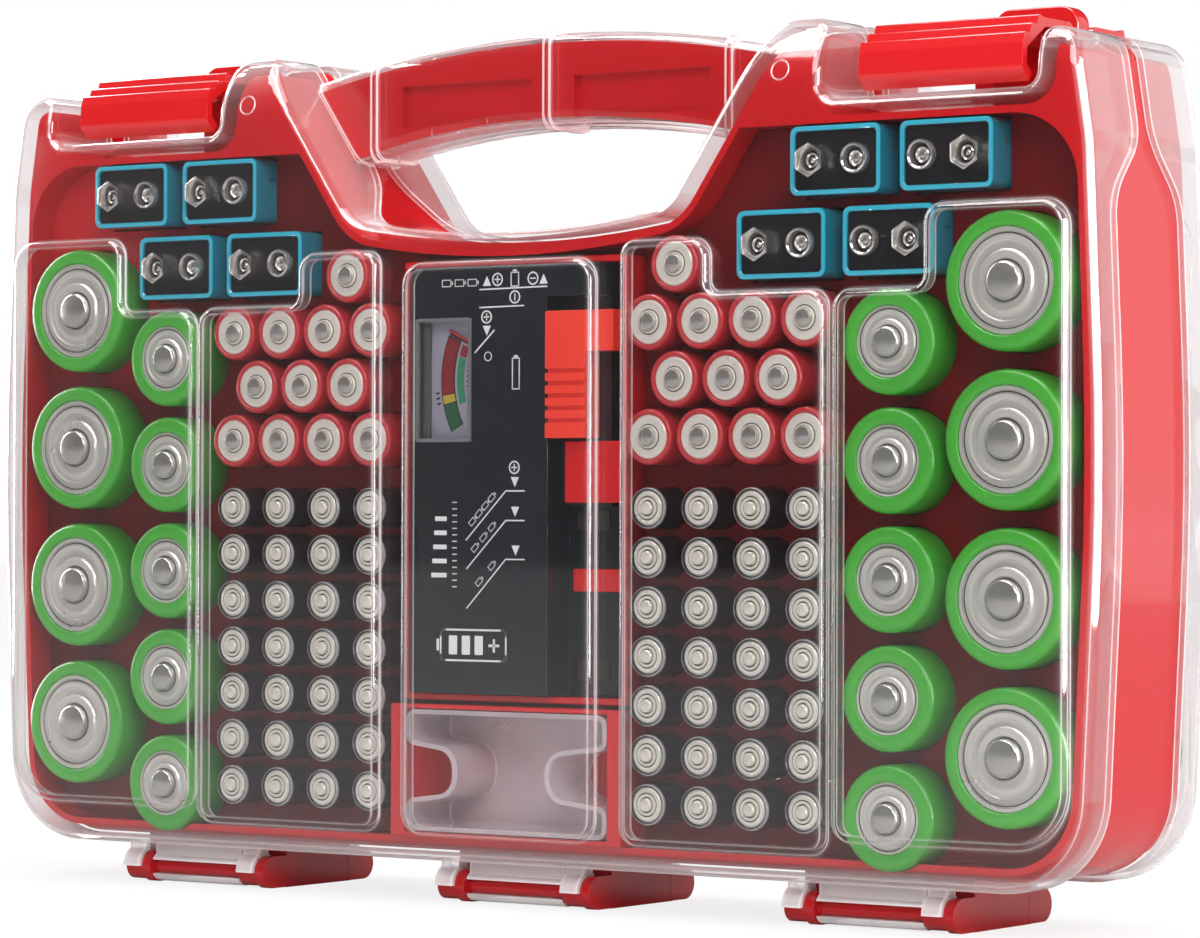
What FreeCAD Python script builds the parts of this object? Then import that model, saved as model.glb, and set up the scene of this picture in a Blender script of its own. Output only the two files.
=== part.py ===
# Battery storage case: a moulded body, two hinged clear covers, four latches, two
# perforated trays with their cells, a battery tester and a coin cell box.
# Millimetres. X runs along the length, Y from front to back, Z up from the resting feet.
import math
import os
import re
from types import SimpleNamespace

import FreeCAD
import Part

V = FreeCAD.Vector
doc = FreeCAD.newDocument("BatteryCase")

# ---------------------------------------------------------------- driving dimensions
DIMENSIONS = {
    # outline of the case, right half, seen from the front
    # the waist is the widest place; the draws say how far the sides fall in from it
    "base_draw": 4.9, "base_height": 11.0, "base_round": 24.0,
    "waist_height": 112.0, "waist_round": 700.0,
    "upper_draw": 3.3, "upper_height": 192.0, "upper_round": 45.0,
    "dome_draw": 7.4, "dome_height": 218.5, "dome_round": 7.0,
    "dome_width": 11.1, "dome_crown": 1.5, "dome_top_round": 4.4,
    "recess_inner": 97.0, "recess_floor": 205.2, "recess_round": 4.0,
    "shoulder_draw": 0.5, "shoulder_width": 14.5, "shoulder_top": 226.0, "shoulder_round": 5.5,
    "grip_corner": 50.5, "grip_corner_height": 180.0, "grip_corner_round": 12.0,
    "grip_middle_height": 172.1, "grip_round": 270.0, "grip_straight": 2.0,
    # walls and profile from front to back
    "cover_front": 30.0, "cover_wall": 1.6, "cover_top_round": 20.0, "cover_crest": 230.5,
    "cover_edge_round": 4.0, "pocket_raise": 3.6, "pocket_edge_round": 2.6,
    "skirt_edge": 17.0, "skirt_top": 179.0, "rim_edge": 3.5, "rim_start": 193.0, "split_round": 14.0,
    "seam_gap": 0.4, "band_inset": 2.0, "tongue_inset": 4.2, "tongue_half": 25.5,
    "well_inset": 6.0, "tray_gap": 0.15, "cell_gap": 0.3,
    # raised fields of the covers
    "pocket_low": 18.0, "pocket_margin": 2.0, "middle_pocket_half": 30.8, "middle_pocket_top": 168.0,
    "large_pocket_reach": 26.0, "large_pocket_inset": 0.6, "nub_room": 0.8, "small_pocket_margin": 1.8,
    "small_pocket_step": 26.8, "small_pocket_shoulder": 158.0, "small_pocket_top": 171.7,
    # carrying handle
    "arch_top": 229.0, "arch_top_radius": 333.0, "arch_under": 204.4, "arch_under_radius": 265.0,
    "arch_half": 78.0, "handle_half_depth": 9.5, "handle_seam": 0.6, "handle_skin": 1.5,
    "core_inset": 2.4, "core_half_depth": 7.2, "handle_edge_round": 4.0,
    "rib_half_width": 1.0, "rib_rise": 0.9, "rib_offset": 57.5,
    "dimple_start": 7.0, "dimple_end": 50.0, "dimple_low": 206.6, "dimple_high": 217.5,
    "dimple_depth": 2.4,
    # cells: radius, lengths and places of the first of each
    "cell_face": 28.0,
    "d_radius": 17.1, "d_length": 59.5, "d_gap": 2.8, "d_low": 43.7, "d_pitch": 38.3,
    "d_nub_radius": 4.75, "d_nub": 1.5,
    "side_margin": 9.9,
    "c_radius": 13.1, "c_length": 48.5, "c_gap": 3.9, "c_low": 27.9, "c_pitch": 29.17,
    "c_nub_radius": 3.75, "c_nub": 1.5,
    "small_column": 44.9, "small_pitch": 15.6,
    "aa_radius": 7.2, "aa_length": 49.5, "aa_low": 121.8, "aa_row": 14.6,
    "aa_nub_radius": 2.75, "aa_nub": 1.0,
    "aaa_radius": 5.25, "aaa_length": 43.7, "aaa_low": 28.4, "aaa_row": 12.55,
    "aaa_nub_radius": 1.9, "aaa_nub": 0.8,
    "block_width": 26.5, "block_height": 17.5, "block_length": 46.5, "block_face": 25.5,
    "block_round": 2.0,
    "snap_offset": 6.35, "snap_radius": 3.7, "snap_height": 2.5,
    "block_high": 190.1, "block_low": 169.7, "block_outer": 130.9, "block_step": 31.8,
    "block_low_outer": 114.5, "block_low_step": 31.3,
    # trays
    "tray_thick": 2.0, "front_tray_back": 15.0, "rear_tray_front": 10.0,
    # tester bay
    "bay_half": 36.0, "bay_wall": 1.8, "bay_low": 53.0, "bay_high": 168.8,
    "bay_front": 24.0, "bay_back": 6.0,
    "tab_inner": 15.8, "tab_low": 105.0, "tab_high": 121.0, "clip_low": 82.0, "clip_high": 88.0,
    "tab_thick": 2.2, "tab_gap": 0.3,
    # tester
    "tester_left": 31.5, "tester_right": 29.0, "tester_seat": 0.2, "tester_front": 27.0,
    "tester_step": 17.0, "tester_guide": 21.0, "tester_back": 3.0, "face_right": 13.0,
    "guide_low": 104.0, "strip_low": 158.4,
    "meter_left": 29.8, "meter_right": 11.6, "meter_low": 121.0, "meter_high": 153.4,
    "meter_depth": 4.0, "dial_thick": 0.5, "window_thick": 1.0, "window_gap": 0.1,
    "pivot_across": 5.0, "pivot_height": 137.3, "pivot_radius": 0.8, "pivot_gap": 0.05,
    "pivot_boss": 2.0, "pin_room": 0.1, "needle_room": 0.5, "needle_length": 29.0, "needle_width": 0.7, "needle_thick": 0.5,
    "needle_angle": 27.0, "chamber_right": 9.0, "chamber_skin": 1.6,
    "slider_left": 12.8, "slider_right": 25.4, "slider_low": 121.7, "slider_high": 154.4,
    "slider_front": 28.0, "slider_gap": 0.3, "foot_reach": 34.0, "foot_low": 144.0,
    "stem_left": 17.3, "stem_right": 20.7, "stem_low": 127.0, "stem_high": 151.0,
    "stem_depth": 1.8, "slider_travel": 3.0, "slider_rib": 1.2,
    "foot_height": 10.6, "foot_setback": 0.4, "groove_first": 4.0, "groove_pitch": 3.2, "groove_width": 1.1,
    "contact_size": 5.0, "contact_thick": 0.6, "contact_inset": 6.0, "contact_drop": 1.0,
    # coin cell bay and box
    "coin_half": 37.0, "coin_low": 17.2, "coin_high": 52.1, "coin_wall": 1.2, "coin_side": 4.5,
    "coin_front": 28.0, "coin_back": 6.0, "coin_gap": 0.3, "coin_floor": 2.0,
    "box_back": 8.3, "box_setback": 0.4, "box_lip": 2.0, "box_wall": 1.2, "box_notch_low": 27.0, "box_notch_high": 41.5,
    "box_notch_left": 17.0, "box_notch_right": 14.0,
    # latches and their brackets
    "latch_width": 46.0, "latch_left_margin": 11.4, "latch_right_margin": 2.9,
    "latch_thick": 2.0, "hook_gap": 1.2, "hook_back": 3.6, "hook_bulge": 0.4, "hook_knee": 3.0,
    "teeth_back": 0.7, "teeth_height": 10.4, "tooth_step": 0.9, "tooth_height": 2.6,
    "plate_front": 11.0,
    "latch_axis": 7.2, "latch_axis_height": 219.5, "latch_barrel": 2.9,
    "bracket_offset": 22.5, "bracket_width": 24.0, "bracket_half_depth": 3.0,
    "bracket_low": 203.2, "bracket_high": 227.0, "bracket_round": 5.0,
    "knuckle_start": 6.0, "knuckle_end": 18.0, "knuckle_gap": 0.3, "web_half": 2.2,
    "pin_radius": 1.25, "pin_gap": 0.05, "notch_reach": 3.4, "tooth_run": 3.47, "tooth_rise": 2.43,
    # hinge blocks and the cover's hinge parts
    "hinge_spacing": 108.3, "hinge_axis": 20.0, "hinge_height": 4.4, "rod_radius": 2.0,
    "rod_half": 15.6, "disc_radius": 4.3, "disc_thick": 3.0, "hub_radius": 3.8, "hub_length": 6.0,
    "cheek_thick": 3.0, "block_half_length": 24.6, "block_half_depth": 14.0, "block_top": 13.0,
    "block_rise": 3.2, "block_foot": 4.6,
    "clip_radius": 4.0, "clip_gap": 0.06, "clip_mouth": 1.9, "clip_side_gap": 0.3,
    "strap_half": 2.0, "strap_start": 3.1, "strap_overlap": 0.2, "mouth_depth": 0.6,
    "lug_radius": 5.2, "lug_wall": 0.9, "cheek_gap": 0.1,
}

# places that follow from the cells side by side: AA block, C column, D column, side wall
C_COLUMN = "(small_column + 3 * small_pitch + aa_radius + c_gap + c_radius)"
D_COLUMN = f"({C_COLUMN} + c_radius + d_gap + d_radius)"
CASE_HALF = f"({D_COLUMN} + d_radius + side_margin)"
RECESS_OUTER = f"({CASE_HALF} - dome_draw - dome_width)"
LATCH_LEFT = f"(latch_left_margin - {RECESS_OUTER})"
LATCH_RIGHT = f"({RECESS_OUTER} - latch_right_margin - latch_width)"

sheet = doc.addObject("Spreadsheet::Sheet", "Dims")
for row, (alias, number) in enumerate(DIMENSIONS.items(), start=1):
    sheet.set(f"A{row}", alias)
    sheet.set(f"B{row}", str(number))
    sheet.setAlias(f"B{row}", alias)
doc.recompute()
d = SimpleNamespace(**DIMENSIONS)
d.c_column = d.small_column + 3 * d.small_pitch + d.aa_radius + d.c_gap + d.c_radius
d.d_column = d.c_column + d.c_radius + d.d_gap + d.d_radius
d.case_half = d.d_column + d.d_radius + d.side_margin
d.recess_outer = d.case_half - d.dome_draw - d.dome_width
d.shoulder_outer = d.recess_inner - d.shoulder_draw
d.shoulder_inner = d.shoulder_outer - d.shoulder_width


# ---------------------------------------------------------------- bound primitives
def formula(text):
    """An expression on the spreadsheet, written with bare cell names."""
    return re.sub(r"[a-z][a-z_]{2,}", lambda word: "Dims." + word.group(0), str(text))


def bind(item, **expressions):
    """Bind properties to the spreadsheet; x, y and z stand for the placement's base."""
    for name, text in expressions.items():
        path = f".Placement.Base.{name}" if name in "xyz" else name
        item.setExpression(path, formula(text))
    return item


def block(name, x, y, z):
    """A box between two expressions on each axis."""
    item = doc.addObject("Part::Box", name)
    sizes = {"Length": x, "Width": y, "Height": z}
    for size, (low, high) in sizes.items():
        item.setExpression(size, formula(f"({high}) - ({low})"))
    return bind(item, x=x[0], y=y[0], z=z[0])


AXIS_TURNS = {
    "x": FreeCAD.Rotation(V(0, 1, 0), 90),
    "y": FreeCAD.Rotation(V(1, 0, 0), -90),
}


def rod(name, axis, radius, length, x, y, z):
    """A cylinder that starts at x, y, z and runs along +X or +Y."""
    item = doc.addObject("Part::Cylinder", name)
    item.Placement.Rotation = AXIS_TURNS[axis]
    return bind(item, Radius=radius, Height=length, x=x, y=y, z=z)


def fused(name, pieces):
    item = doc.addObject("Part::MultiFuse", name)
    item.Shapes = pieces
    return item


def cut(name, base, tool):
    item = doc.addObject("Part::Cut", name)
    item.Base = base
    item.Tool = tool
    return item


def group(name, pieces):
    """Separate solids that share one node."""
    item = doc.addObject("Part::Compound", name)
    item.Links = pieces
    return item


def shaped(name, shape):
    """A free shape that no primitive fits."""
    item = doc.addObject("Part::Feature", name)
    item.Shape = shape
    return item


def mirrored(name, source):
    """The same piece on the other side of the XZ plane."""
    item = doc.addObject("Part::Mirroring", name)
    item.Source = source
    item.Normal = V(0, 1, 0)
    return item


# ---------------------------------------------------------------- outlines with round corners
def rounded_face(corners, place):
    """A face from corners (a, b, radius); place turns (a, b) into a point in space."""
    rounds = []
    for i, (a, b, radius) in enumerate(corners):
        corner = V(a, b, 0)
        to_last = (V(*corners[i - 1][:2], 0) - corner).normalize()
        to_next = (V(*corners[(i + 1) % len(corners)][:2], 0) - corner).normalize()
        half_turn = math.acos(to_last.dot(to_next)) / 2
        reach = radius / math.tan(half_turn)
        depth = radius / math.sin(half_turn) - radius
        middle = corner + (to_last + to_next).normalize() * depth
        rounds.append((corner + to_last * reach, middle, corner + to_next * reach, radius))
    edges = []
    for i, (start, middle, end, radius) in enumerate(rounds):
        if radius:
            edges.append(Part.Arc(place(start), place(middle), place(end)).toShape())
        following = rounds[(i + 1) % len(rounds)][0]
        edges.append(Part.LineSegment(place(end), place(following)).toShape())
    return Part.Face(Part.Wire(edges))


def front_face(corners, y):
    return rounded_face(corners, lambda point: V(point.x, y, point.y))


def inset(face, distance):
    if not distance:
        return face
    return Part.Face(face.OuterWire.makeOffset2D(-distance))


def front_prism(corners, y_low, y_high, distance=0.0):
    """An outline in XZ, drawn in by a distance and carried from y_low to y_high."""
    return inset(front_face(corners, y_low), distance).extrude(V(0, y_high - y_low, 0))


def side_prism(corners, half_length):
    """A profile in YZ carried along the whole length."""
    face = rounded_face(corners, lambda point: V(-half_length, point.x, point.y))
    return face.extrude(V(2 * half_length, 0, 0))


def box_between(x_low, x_high, y_low, y_high, z_low, z_high):
    return Part.makeBox(x_high - x_low, y_high - y_low, z_high - z_low, V(x_low, y_low, z_low))


LOWER_SIDE = [
    (d.case_half - d.base_draw, d.base_height, d.base_round),
    (d.case_half, d.waist_height, d.waist_round),
]
UPPER_HALF = d.case_half - d.upper_draw
FINGER_CORNER = (d.grip_corner, d.grip_corner_height, d.grip_corner_round)
# the hollow's long curve leaves a short straight run before the curves of its two corners
grip_fall = (d.grip_corner_height - d.grip_middle_height) / d.grip_corner
corner_turn = math.atan2(
    d.shoulder_top - d.grip_corner_height, d.shoulder_inner - d.grip_corner
) - math.atan(grip_fall)
grip_run = d.grip_corner * math.hypot(1, grip_fall) - d.grip_straight
grip_run -= d.grip_corner_round * math.tan(abs(corner_turn) / 2)
GRIP_BEND = grip_run / abs(grip_fall) if grip_fall else d.grip_round
FINGER_MIDDLE = [(0.0, d.grip_middle_height, min(d.grip_round, GRIP_BEND))]


def closed_over_grip(half):
    """The whole outline from its right half, with the hollow under the handle between."""
    left = [(-x, z, radius) for x, z, radius in reversed(half)]
    return half + FINGER_MIDDLE + left


CASE_OUTLINE = closed_over_grip(LOWER_SIDE + [
    (UPPER_HALF, d.upper_height, d.upper_round),
    (d.case_half - d.dome_draw, d.dome_height, d.dome_round),
    (d.recess_outer, d.dome_height + d.dome_crown, d.dome_top_round),
    (d.recess_outer, d.recess_floor, d.recess_round),
    (d.recess_inner, d.recess_floor, d.recess_round),
    (d.shoulder_outer, d.shoulder_top, d.shoulder_round),
    (d.shoulder_inner, d.shoulder_top, d.shoulder_round),
    FINGER_CORNER,
])

# the well under the recess floors: the slope by the handle meets the floor's height
slope = (d.shoulder_inner - d.grip_corner) / (d.shoulder_top - d.grip_corner_height)
WELL_CORNER = d.grip_corner + slope * (d.recess_floor - d.grip_corner_height)
WELL_OUTLINE = closed_over_grip(LOWER_SIDE + [
    (UPPER_HALF, d.recess_floor, d.base_round),
    (WELL_CORNER, d.recess_floor, d.recess_round),
    FINGER_CORNER,
])
HALF_SPAN = d.case_half + 10.0


# ---------------------------------------------------------------- covers
def split_profile(gap):
    """YZ profile in front of the seam between cover and body."""
    return [
        (-60.0, -20.0, 0.0),
        (-60.0, 260.0, 0.0),
        (-d.rim_edge + gap, 260.0, 0.0),
        (-d.rim_edge + gap, d.rim_start, d.split_round),
        (-d.skirt_edge + gap, d.skirt_top, d.split_round),
        (-d.skirt_edge + gap, -20.0, 0.0),
    ]


def dome_profile(wall):
    """YZ profile of the case's front half: flat front, round top edge, sloping crest."""
    front = -d.cover_front + wall
    back = 4.0
    return [
        (front, -20.0, 0.0),
        (front, d.shoulder_top - wall, d.cover_top_round - wall),
        (0.0, d.cover_crest - wall, 0.0),
        (back, d.cover_crest - wall, 0.0),
        (back, -20.0, 0.0),
    ]


def arch_face(inset_by, half_length, y):
    """Front view of the handle between its two arches, drawn in by a distance."""
    def arch_point(across, crest, radius):
        return V(across, y, crest - across * across / (2 * radius))

    top = d.arch_top - inset_by
    under = d.arch_under + inset_by
    ends = (half_length, 0.0, -half_length)
    upper = [arch_point(x, top, d.arch_top_radius) for x in ends]
    lower = [arch_point(x, under, d.arch_under_radius) for x in reversed(ends)]
    edges = [
        Part.Arc(*upper).toShape(),
        Part.LineSegment(upper[2], lower[0]).toShape(),
        Part.Arc(*lower).toShape(),
        Part.LineSegment(lower[2], upper[0]).toShape(),
    ]
    return Part.Face(Part.Wire(edges))


def arch_prism(inset_by, y_low, y_high):
    return arch_face(inset_by, d.arch_half, y_low).extrude(V(0, y_high - y_low, 0))


def edges_on_plane(shape, y):
    """Edges that lie wholly in the plane at y."""
    return [
        edge for edge in shape.Edges
        if abs(edge.BoundBox.YMin - y) < 1e-4 and abs(edge.BoundBox.YMax - y) < 1e-4
    ]


def rim_clear(edge):
    """False for the straight edge where the flat front meets the round top."""
    box = edge.BoundBox
    level = box.ZMax - box.ZMin < 1e-3
    return not (level and box.ZMin > d.recess_floor + 0.5)


D_POCKET_TOP = d.d_low + 3 * d.d_pitch + d.d_radius + 2 * d.cell_gap + d.cover_wall
D_POCKET_SIDE = d.d_column + d.d_radius + 2 * d.cell_gap + d.cover_wall
C_POCKET_TOP = d.c_low + 4 * d.c_pitch + d.c_radius
C_POCKET_STEP = d.c_column + d.c_radius - d.large_pocket_inset
C_POCKET_INNER = C_POCKET_STEP - d.large_pocket_reach
C_POCKET_LOW = d.c_low - d.c_nub_radius - d.nub_room - d.cover_wall
SMALL_INNER = d.coin_half + d.pocket_margin
SMALL_OUTER = d.small_column + 3 * d.small_pitch + d.aa_radius + d.small_pocket_margin
SMALL_STEP = SMALL_INNER + d.small_pocket_step
LARGE_POCKET = [
    (C_POCKET_INNER, C_POCKET_LOW, 5.0),
    (D_POCKET_SIDE, C_POCKET_LOW, 15.0),
    (D_POCKET_SIDE, D_POCKET_TOP, 7.0),
    (C_POCKET_STEP, D_POCKET_TOP, 5.0),
    (C_POCKET_STEP, C_POCKET_TOP, 3.0),
    (C_POCKET_INNER, C_POCKET_TOP, 5.0),
]
SMALL_POCKET = [
    (SMALL_INNER, d.pocket_low, 5.0),
    (SMALL_OUTER, d.pocket_low, 5.0),
    (SMALL_OUTER, d.small_pocket_shoulder, 5.0),
    (SMALL_STEP, d.small_pocket_shoulder, 3.0),
    (SMALL_STEP, d.small_pocket_top, 5.0),
    (SMALL_INNER, d.small_pocket_top, 4.0),
]


def left_copy(corners):
    return [(-x, z, radius) for x, z, radius in reversed(corners)]


MIDDLE_HALF = [
    (d.middle_pocket_half, d.pocket_low, 6.0),
    (d.middle_pocket_half, d.middle_pocket_top, 6.0),
]
MIDDLE_POCKET = MIDDLE_HALF + left_copy(MIDDLE_HALF)
POCKETS = [LARGE_POCKET, left_copy(LARGE_POCKET), SMALL_POCKET, left_copy(SMALL_POCKET), MIDDLE_POCKET]


def pocket_prism(corners, wall):
    """A raised field of the cover's front, or its hollow."""
    front = -d.cover_front - d.pocket_raise + wall
    body = front_prism(corners, front, -d.cover_front + d.cover_wall + wall, wall)
    if wall:
        return body
    return body.makeFillet(d.pocket_edge_round, edges_on_plane(body, front))


def handle_skin():
    """Cover's half of the handle, with its three ribs."""
    skin = arch_prism(0.0, -d.handle_half_depth, -d.handle_seam)
    front_edges = [
        edge for edge in edges_on_plane(skin, -d.handle_half_depth)
        if edge.BoundBox.XMax - edge.BoundBox.XMin > d.arch_half
    ]
    skin = skin.makeFillet(d.handle_edge_round, front_edges)
    rib = arch_prism(-d.rib_rise, -d.handle_half_depth - d.rib_rise, -d.handle_seam)
    top_edges = [
        edge for edge in edges_on_plane(rib, -d.handle_half_depth - d.rib_rise)
        if edge.BoundBox.XMax - edge.BoundBox.XMin > d.arch_half
    ]
    rib = rib.makeFillet(d.handle_edge_round, top_edges)
    for across in (-d.rib_offset, 0.0, d.rib_offset):
        low = across - d.rib_half_width
        window = box_between(
            low, across + d.rib_half_width, -d.cover_front, 0.0,
            d.grip_corner_height, d.arch_top + d.cover_front,
        )
        skin = skin.fuse(rib.common(window))
    return skin


def hinge_ring(outer, inner, x_low, x_high):
    """A ring round the hinge axis."""
    start = V(x_low, -d.hinge_axis, d.hinge_height)
    length = x_high - x_low
    along = V(1, 0, 0)
    ring = Part.makeCylinder(outer, length, start, along)
    return ring.cut(Part.makeCylinder(inner, length, start, along))


def cover_hinge(centre):
    """Snap-on clip round the block's rod, and the two lugs that ride on its hubs."""
    axis_y = -d.hinge_axis
    floor = d.base_height + d.strap_overlap
    half = d.rod_half - d.clip_side_gap
    clip = hinge_ring(d.clip_radius, d.rod_radius + d.clip_gap, centre - half, centre + half)
    mouth = box_between(
        centre - half - 1, centre + half + 1, axis_y - 2 * d.clip_radius, axis_y - d.mouth_depth,
        d.hinge_height - d.clip_mouth, d.hinge_height + d.clip_mouth,
    )
    strap = box_between(
        centre - half, centre + half, axis_y - d.strap_half, axis_y + d.strap_half,
        d.hinge_height + d.strap_start, floor,
    )
    pieces = [clip.cut(mouth), strap]
    disc_outer = d.rod_half + d.disc_thick
    spans = [
        (-disc_outer - d.hub_length + d.cheek_gap, -disc_outer - d.clip_side_gap),
        (d.rod_half + d.clip_side_gap, d.rod_half + d.hub_length + d.cheek_gap - d.clip_side_gap),
    ]
    for low, high in spans:
        x_low, x_high = centre + low, centre + high
        ring = hinge_ring(d.lug_radius, d.hub_radius + d.clip_gap, x_low, x_high)
        lower = box_between(
            x_low - 1, x_high + 1, axis_y - 2 * d.lug_radius, axis_y + 2 * d.lug_radius,
            -d.lug_radius, d.hinge_height,
        )
        foot = box_between(
            x_low, x_high, axis_y - d.strap_half, axis_y + d.strap_half,
            d.hinge_height + d.lug_radius - d.lug_wall, floor,
        )
        pieces += [ring.cut(lower), foot]
    return pieces


HINGE_CENTRES = (-d.hinge_spacing, 0.0, d.hinge_spacing)


def cover_shape():
    """Clear cover: shell with raised pockets, half of the handle and the hinge parts."""
    shell = front_prism(CASE_OUTLINE, -d.cover_front, 0.0)
    shell = shell.common(side_prism(dome_profile(0.0), HALF_SPAN)).Solids[0]
    rim = [edge for edge in edges_on_plane(shell, -d.cover_front) if rim_clear(edge)]
    shell = shell.makeFillet(d.cover_edge_round, rim)
    in_front = side_prism(split_profile(0.0), HALF_SPAN)
    shell = shell.common(in_front)
    outside = shell.multiFuse([pocket_prism(pocket, 0.0) for pocket in POCKETS] + [handle_skin()])
    hollow = front_prism(CASE_OUTLINE, -d.cover_front, 4.0, d.cover_wall)
    hollow = hollow.common(side_prism(dome_profile(d.cover_wall), HALF_SPAN))
    inner_handle = arch_prism(d.handle_skin, -d.handle_half_depth + d.handle_skin, 4.0)
    pocket_hollows = [pocket_prism(pocket, d.cover_wall) for pocket in POCKETS]
    cover = outside.cut([hollow, inner_handle] + pocket_hollows)
    hinge_parts = []
    for centre in HINGE_CENTRES:
        hinge_parts += cover_hinge(centre)
    return cover.multiFuse(hinge_parts).removeSplitter()


# ---------------------------------------------------------------- cells
# kind: first column as an expression and a number, first row, row pitch
CELL_GRIDS = {
    "d": (D_COLUMN, d.d_column, "d_low", "d_pitch"),
    "c": (C_COLUMN, d.c_column, "c_low", "c_pitch"),
    "aa": ("small_column", d.small_column, "aa_low", "aa_row"),
    "aaa": ("small_column", d.small_column, "aaa_low", "aaa_row"),
}


def cell_seats(kind):
    """Seats of one kind on the right half as (column, row); half columns sit between."""
    if kind == "d":
        return [(0, row) for row in range(4)]
    if kind == "c":
        return [(0, row) for row in range(5)]
    if kind == "aaa":
        return [(column, row) for column in range(4) for row in range(7)]
    square = [(column, row) for column in range(4) for row in (0, 2)]
    return square + [(0.5, 1), (1.5, 1), (2.5, 1), (0.5, 3)]


def cell_expressions(kind):
    """Centres of the cells of one kind as expressions (x, z), both halves."""
    first, _, low, pitch = CELL_GRIDS[kind]
    return [
        (f"{side} * ({first} + {column} * small_pitch)", f"{low} + {row} * {pitch}")
        for side in (1, -1) for column, row in cell_seats(kind)
    ]


def cell_centres(kind):
    """The same centres as numbers."""
    _, first, low, pitch = CELL_GRIDS[kind]
    return [
        (side * (first + column * d.small_pitch), DIMENSIONS[low] + row * DIMENSIONS[pitch])
        for side in (1, -1) for column, row in cell_seats(kind)
    ]


def round_cells(kind):
    """All cells of one size, each a cylinder with its contact nub towards the front."""
    cells = []
    for index, (x, z) in enumerate(cell_expressions(kind)):
        name = f"{kind}_cell_{index}"
        can = rod(f"{name}_can", "y", f"{kind}_radius", f"{kind}_length", x, "-cell_face", z)
        nub_face = f"-cell_face - {kind}_nub"
        nub = rod(f"{name}_nub", "y", f"{kind}_nub_radius", f"{kind}_nub + 1", x, nub_face, z)
        cells.append(fused(name, [can, nub]))
    return cells


def block_places():
    places = []
    for side in (1, -1):
        for step in range(2):
            places.append((side * (d.block_outer - step * d.block_step), d.block_high))
            places.append((side * (d.block_low_outer - step * d.block_low_step), d.block_low))
    return places


def block_cell(x, z):
    """A nine volt block with its two snaps towards the front."""
    half_width, half_height = d.block_width / 2, d.block_height / 2
    corners = [
        (x - half_width, z - half_height, d.block_round),
        (x + half_width, z - half_height, d.block_round),
        (x + half_width, z + half_height, d.block_round),
        (x - half_width, z + half_height, d.block_round),
    ]
    can = front_prism(corners, -d.block_face, -d.block_face + d.block_length)
    for offset in (-d.snap_offset, d.snap_offset):
        start = V(x + offset, -d.block_face - d.snap_height, z)
        can = can.fuse(Part.makeCylinder(d.snap_radius, d.snap_height + 1.0, start, V(0, 1, 0)))
    return can


# ---------------------------------------------------------------- trays and body
def round_cell_holes(y_low, y_high):
    """Cylinders a clearance larger than each round cell."""
    holes = []
    for kind in CELL_GRIDS:
        radius = DIMENSIONS[f"{kind}_radius"] + d.cell_gap
        for x, z in cell_centres(kind):
            holes.append(Part.makeCylinder(radius, y_high - y_low, V(x, y_low, z), V(0, 1, 0)))
    return holes


def tray_shape(y_low):
    """Plate across the well with a hole for each cell and windows for both bays."""
    y_high = y_low + d.tray_thick
    plate = front_prism(WELL_OUTLINE, y_low, y_high, d.well_inset + d.tray_gap)
    holes = round_cell_holes(y_low - 1, y_high + 1)
    gap = d.cell_gap
    for x, z in block_places():
        holes.append(box_between(
            x - d.block_width / 2 - gap, x + d.block_width / 2 + gap, y_low - 1, y_high + 1,
            z - d.block_height / 2 - gap, z + d.block_height / 2 + gap,
        ))
    if y_low < -d.coin_back:
        half, gap = d.coin_half, d.tray_gap
        holes.append(box_between(
            -half - gap, half + gap, y_low - 1, y_high + 1, d.coin_low - gap, d.bay_high + gap,
        ))
    return plate.cut(holes)


def body_shape():
    """Moulded body: outer band, tongue inside the covers, handle core."""
    both = 2 * d.cover_front
    band = front_prism(CASE_OUTLINE, -d.cover_front, d.cover_front, d.band_inset)
    front_keep = side_prism(split_profile(d.seam_gap), HALF_SPAN)
    band = band.cut(front_keep)
    band = band.cut(front_keep.mirror(V(0, 0, 0), V(0, 1, 0)))
    tongue = front_prism(CASE_OUTLINE, -d.tongue_half, d.tongue_half, d.tongue_inset)
    dome = side_prism(dome_profile(d.tongue_inset), HALF_SPAN)
    dome = dome.fuse(dome.mirror(V(0, 0, 0), V(0, 1, 0)))
    body = band.fuse(tongue.common(dome))
    well = front_prism(WELL_OUTLINE, -both, both, d.well_inset)
    core = arch_prism(d.core_inset, -d.core_half_depth, d.core_half_depth)
    for side in (-1, 1):
        for face in (-1, 1):
            x_low = min(side * d.dimple_start, side * d.dimple_end)
            y_low = min(face * (d.core_half_depth - d.dimple_depth), face * (d.core_half_depth + 1))
            core = core.cut(box_between(
                x_low, x_low + d.dimple_end - d.dimple_start, y_low, y_low + d.dimple_depth + 1,
                d.dimple_low, d.dimple_high,
            ))
    body = body.fuse(core).cut(well)
    for start in LATCH_STARTS.values():
        seat = start + d.bracket_offset
        body = body.cut(box_between(
            seat, seat + d.bracket_width, -d.bracket_half_depth, d.bracket_half_depth,
            d.bracket_low, d.bracket_high,
        ))
    reach = d.tongue_half + 1
    return body.cut(round_cell_holes(-reach, reach)).removeSplitter()


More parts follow.
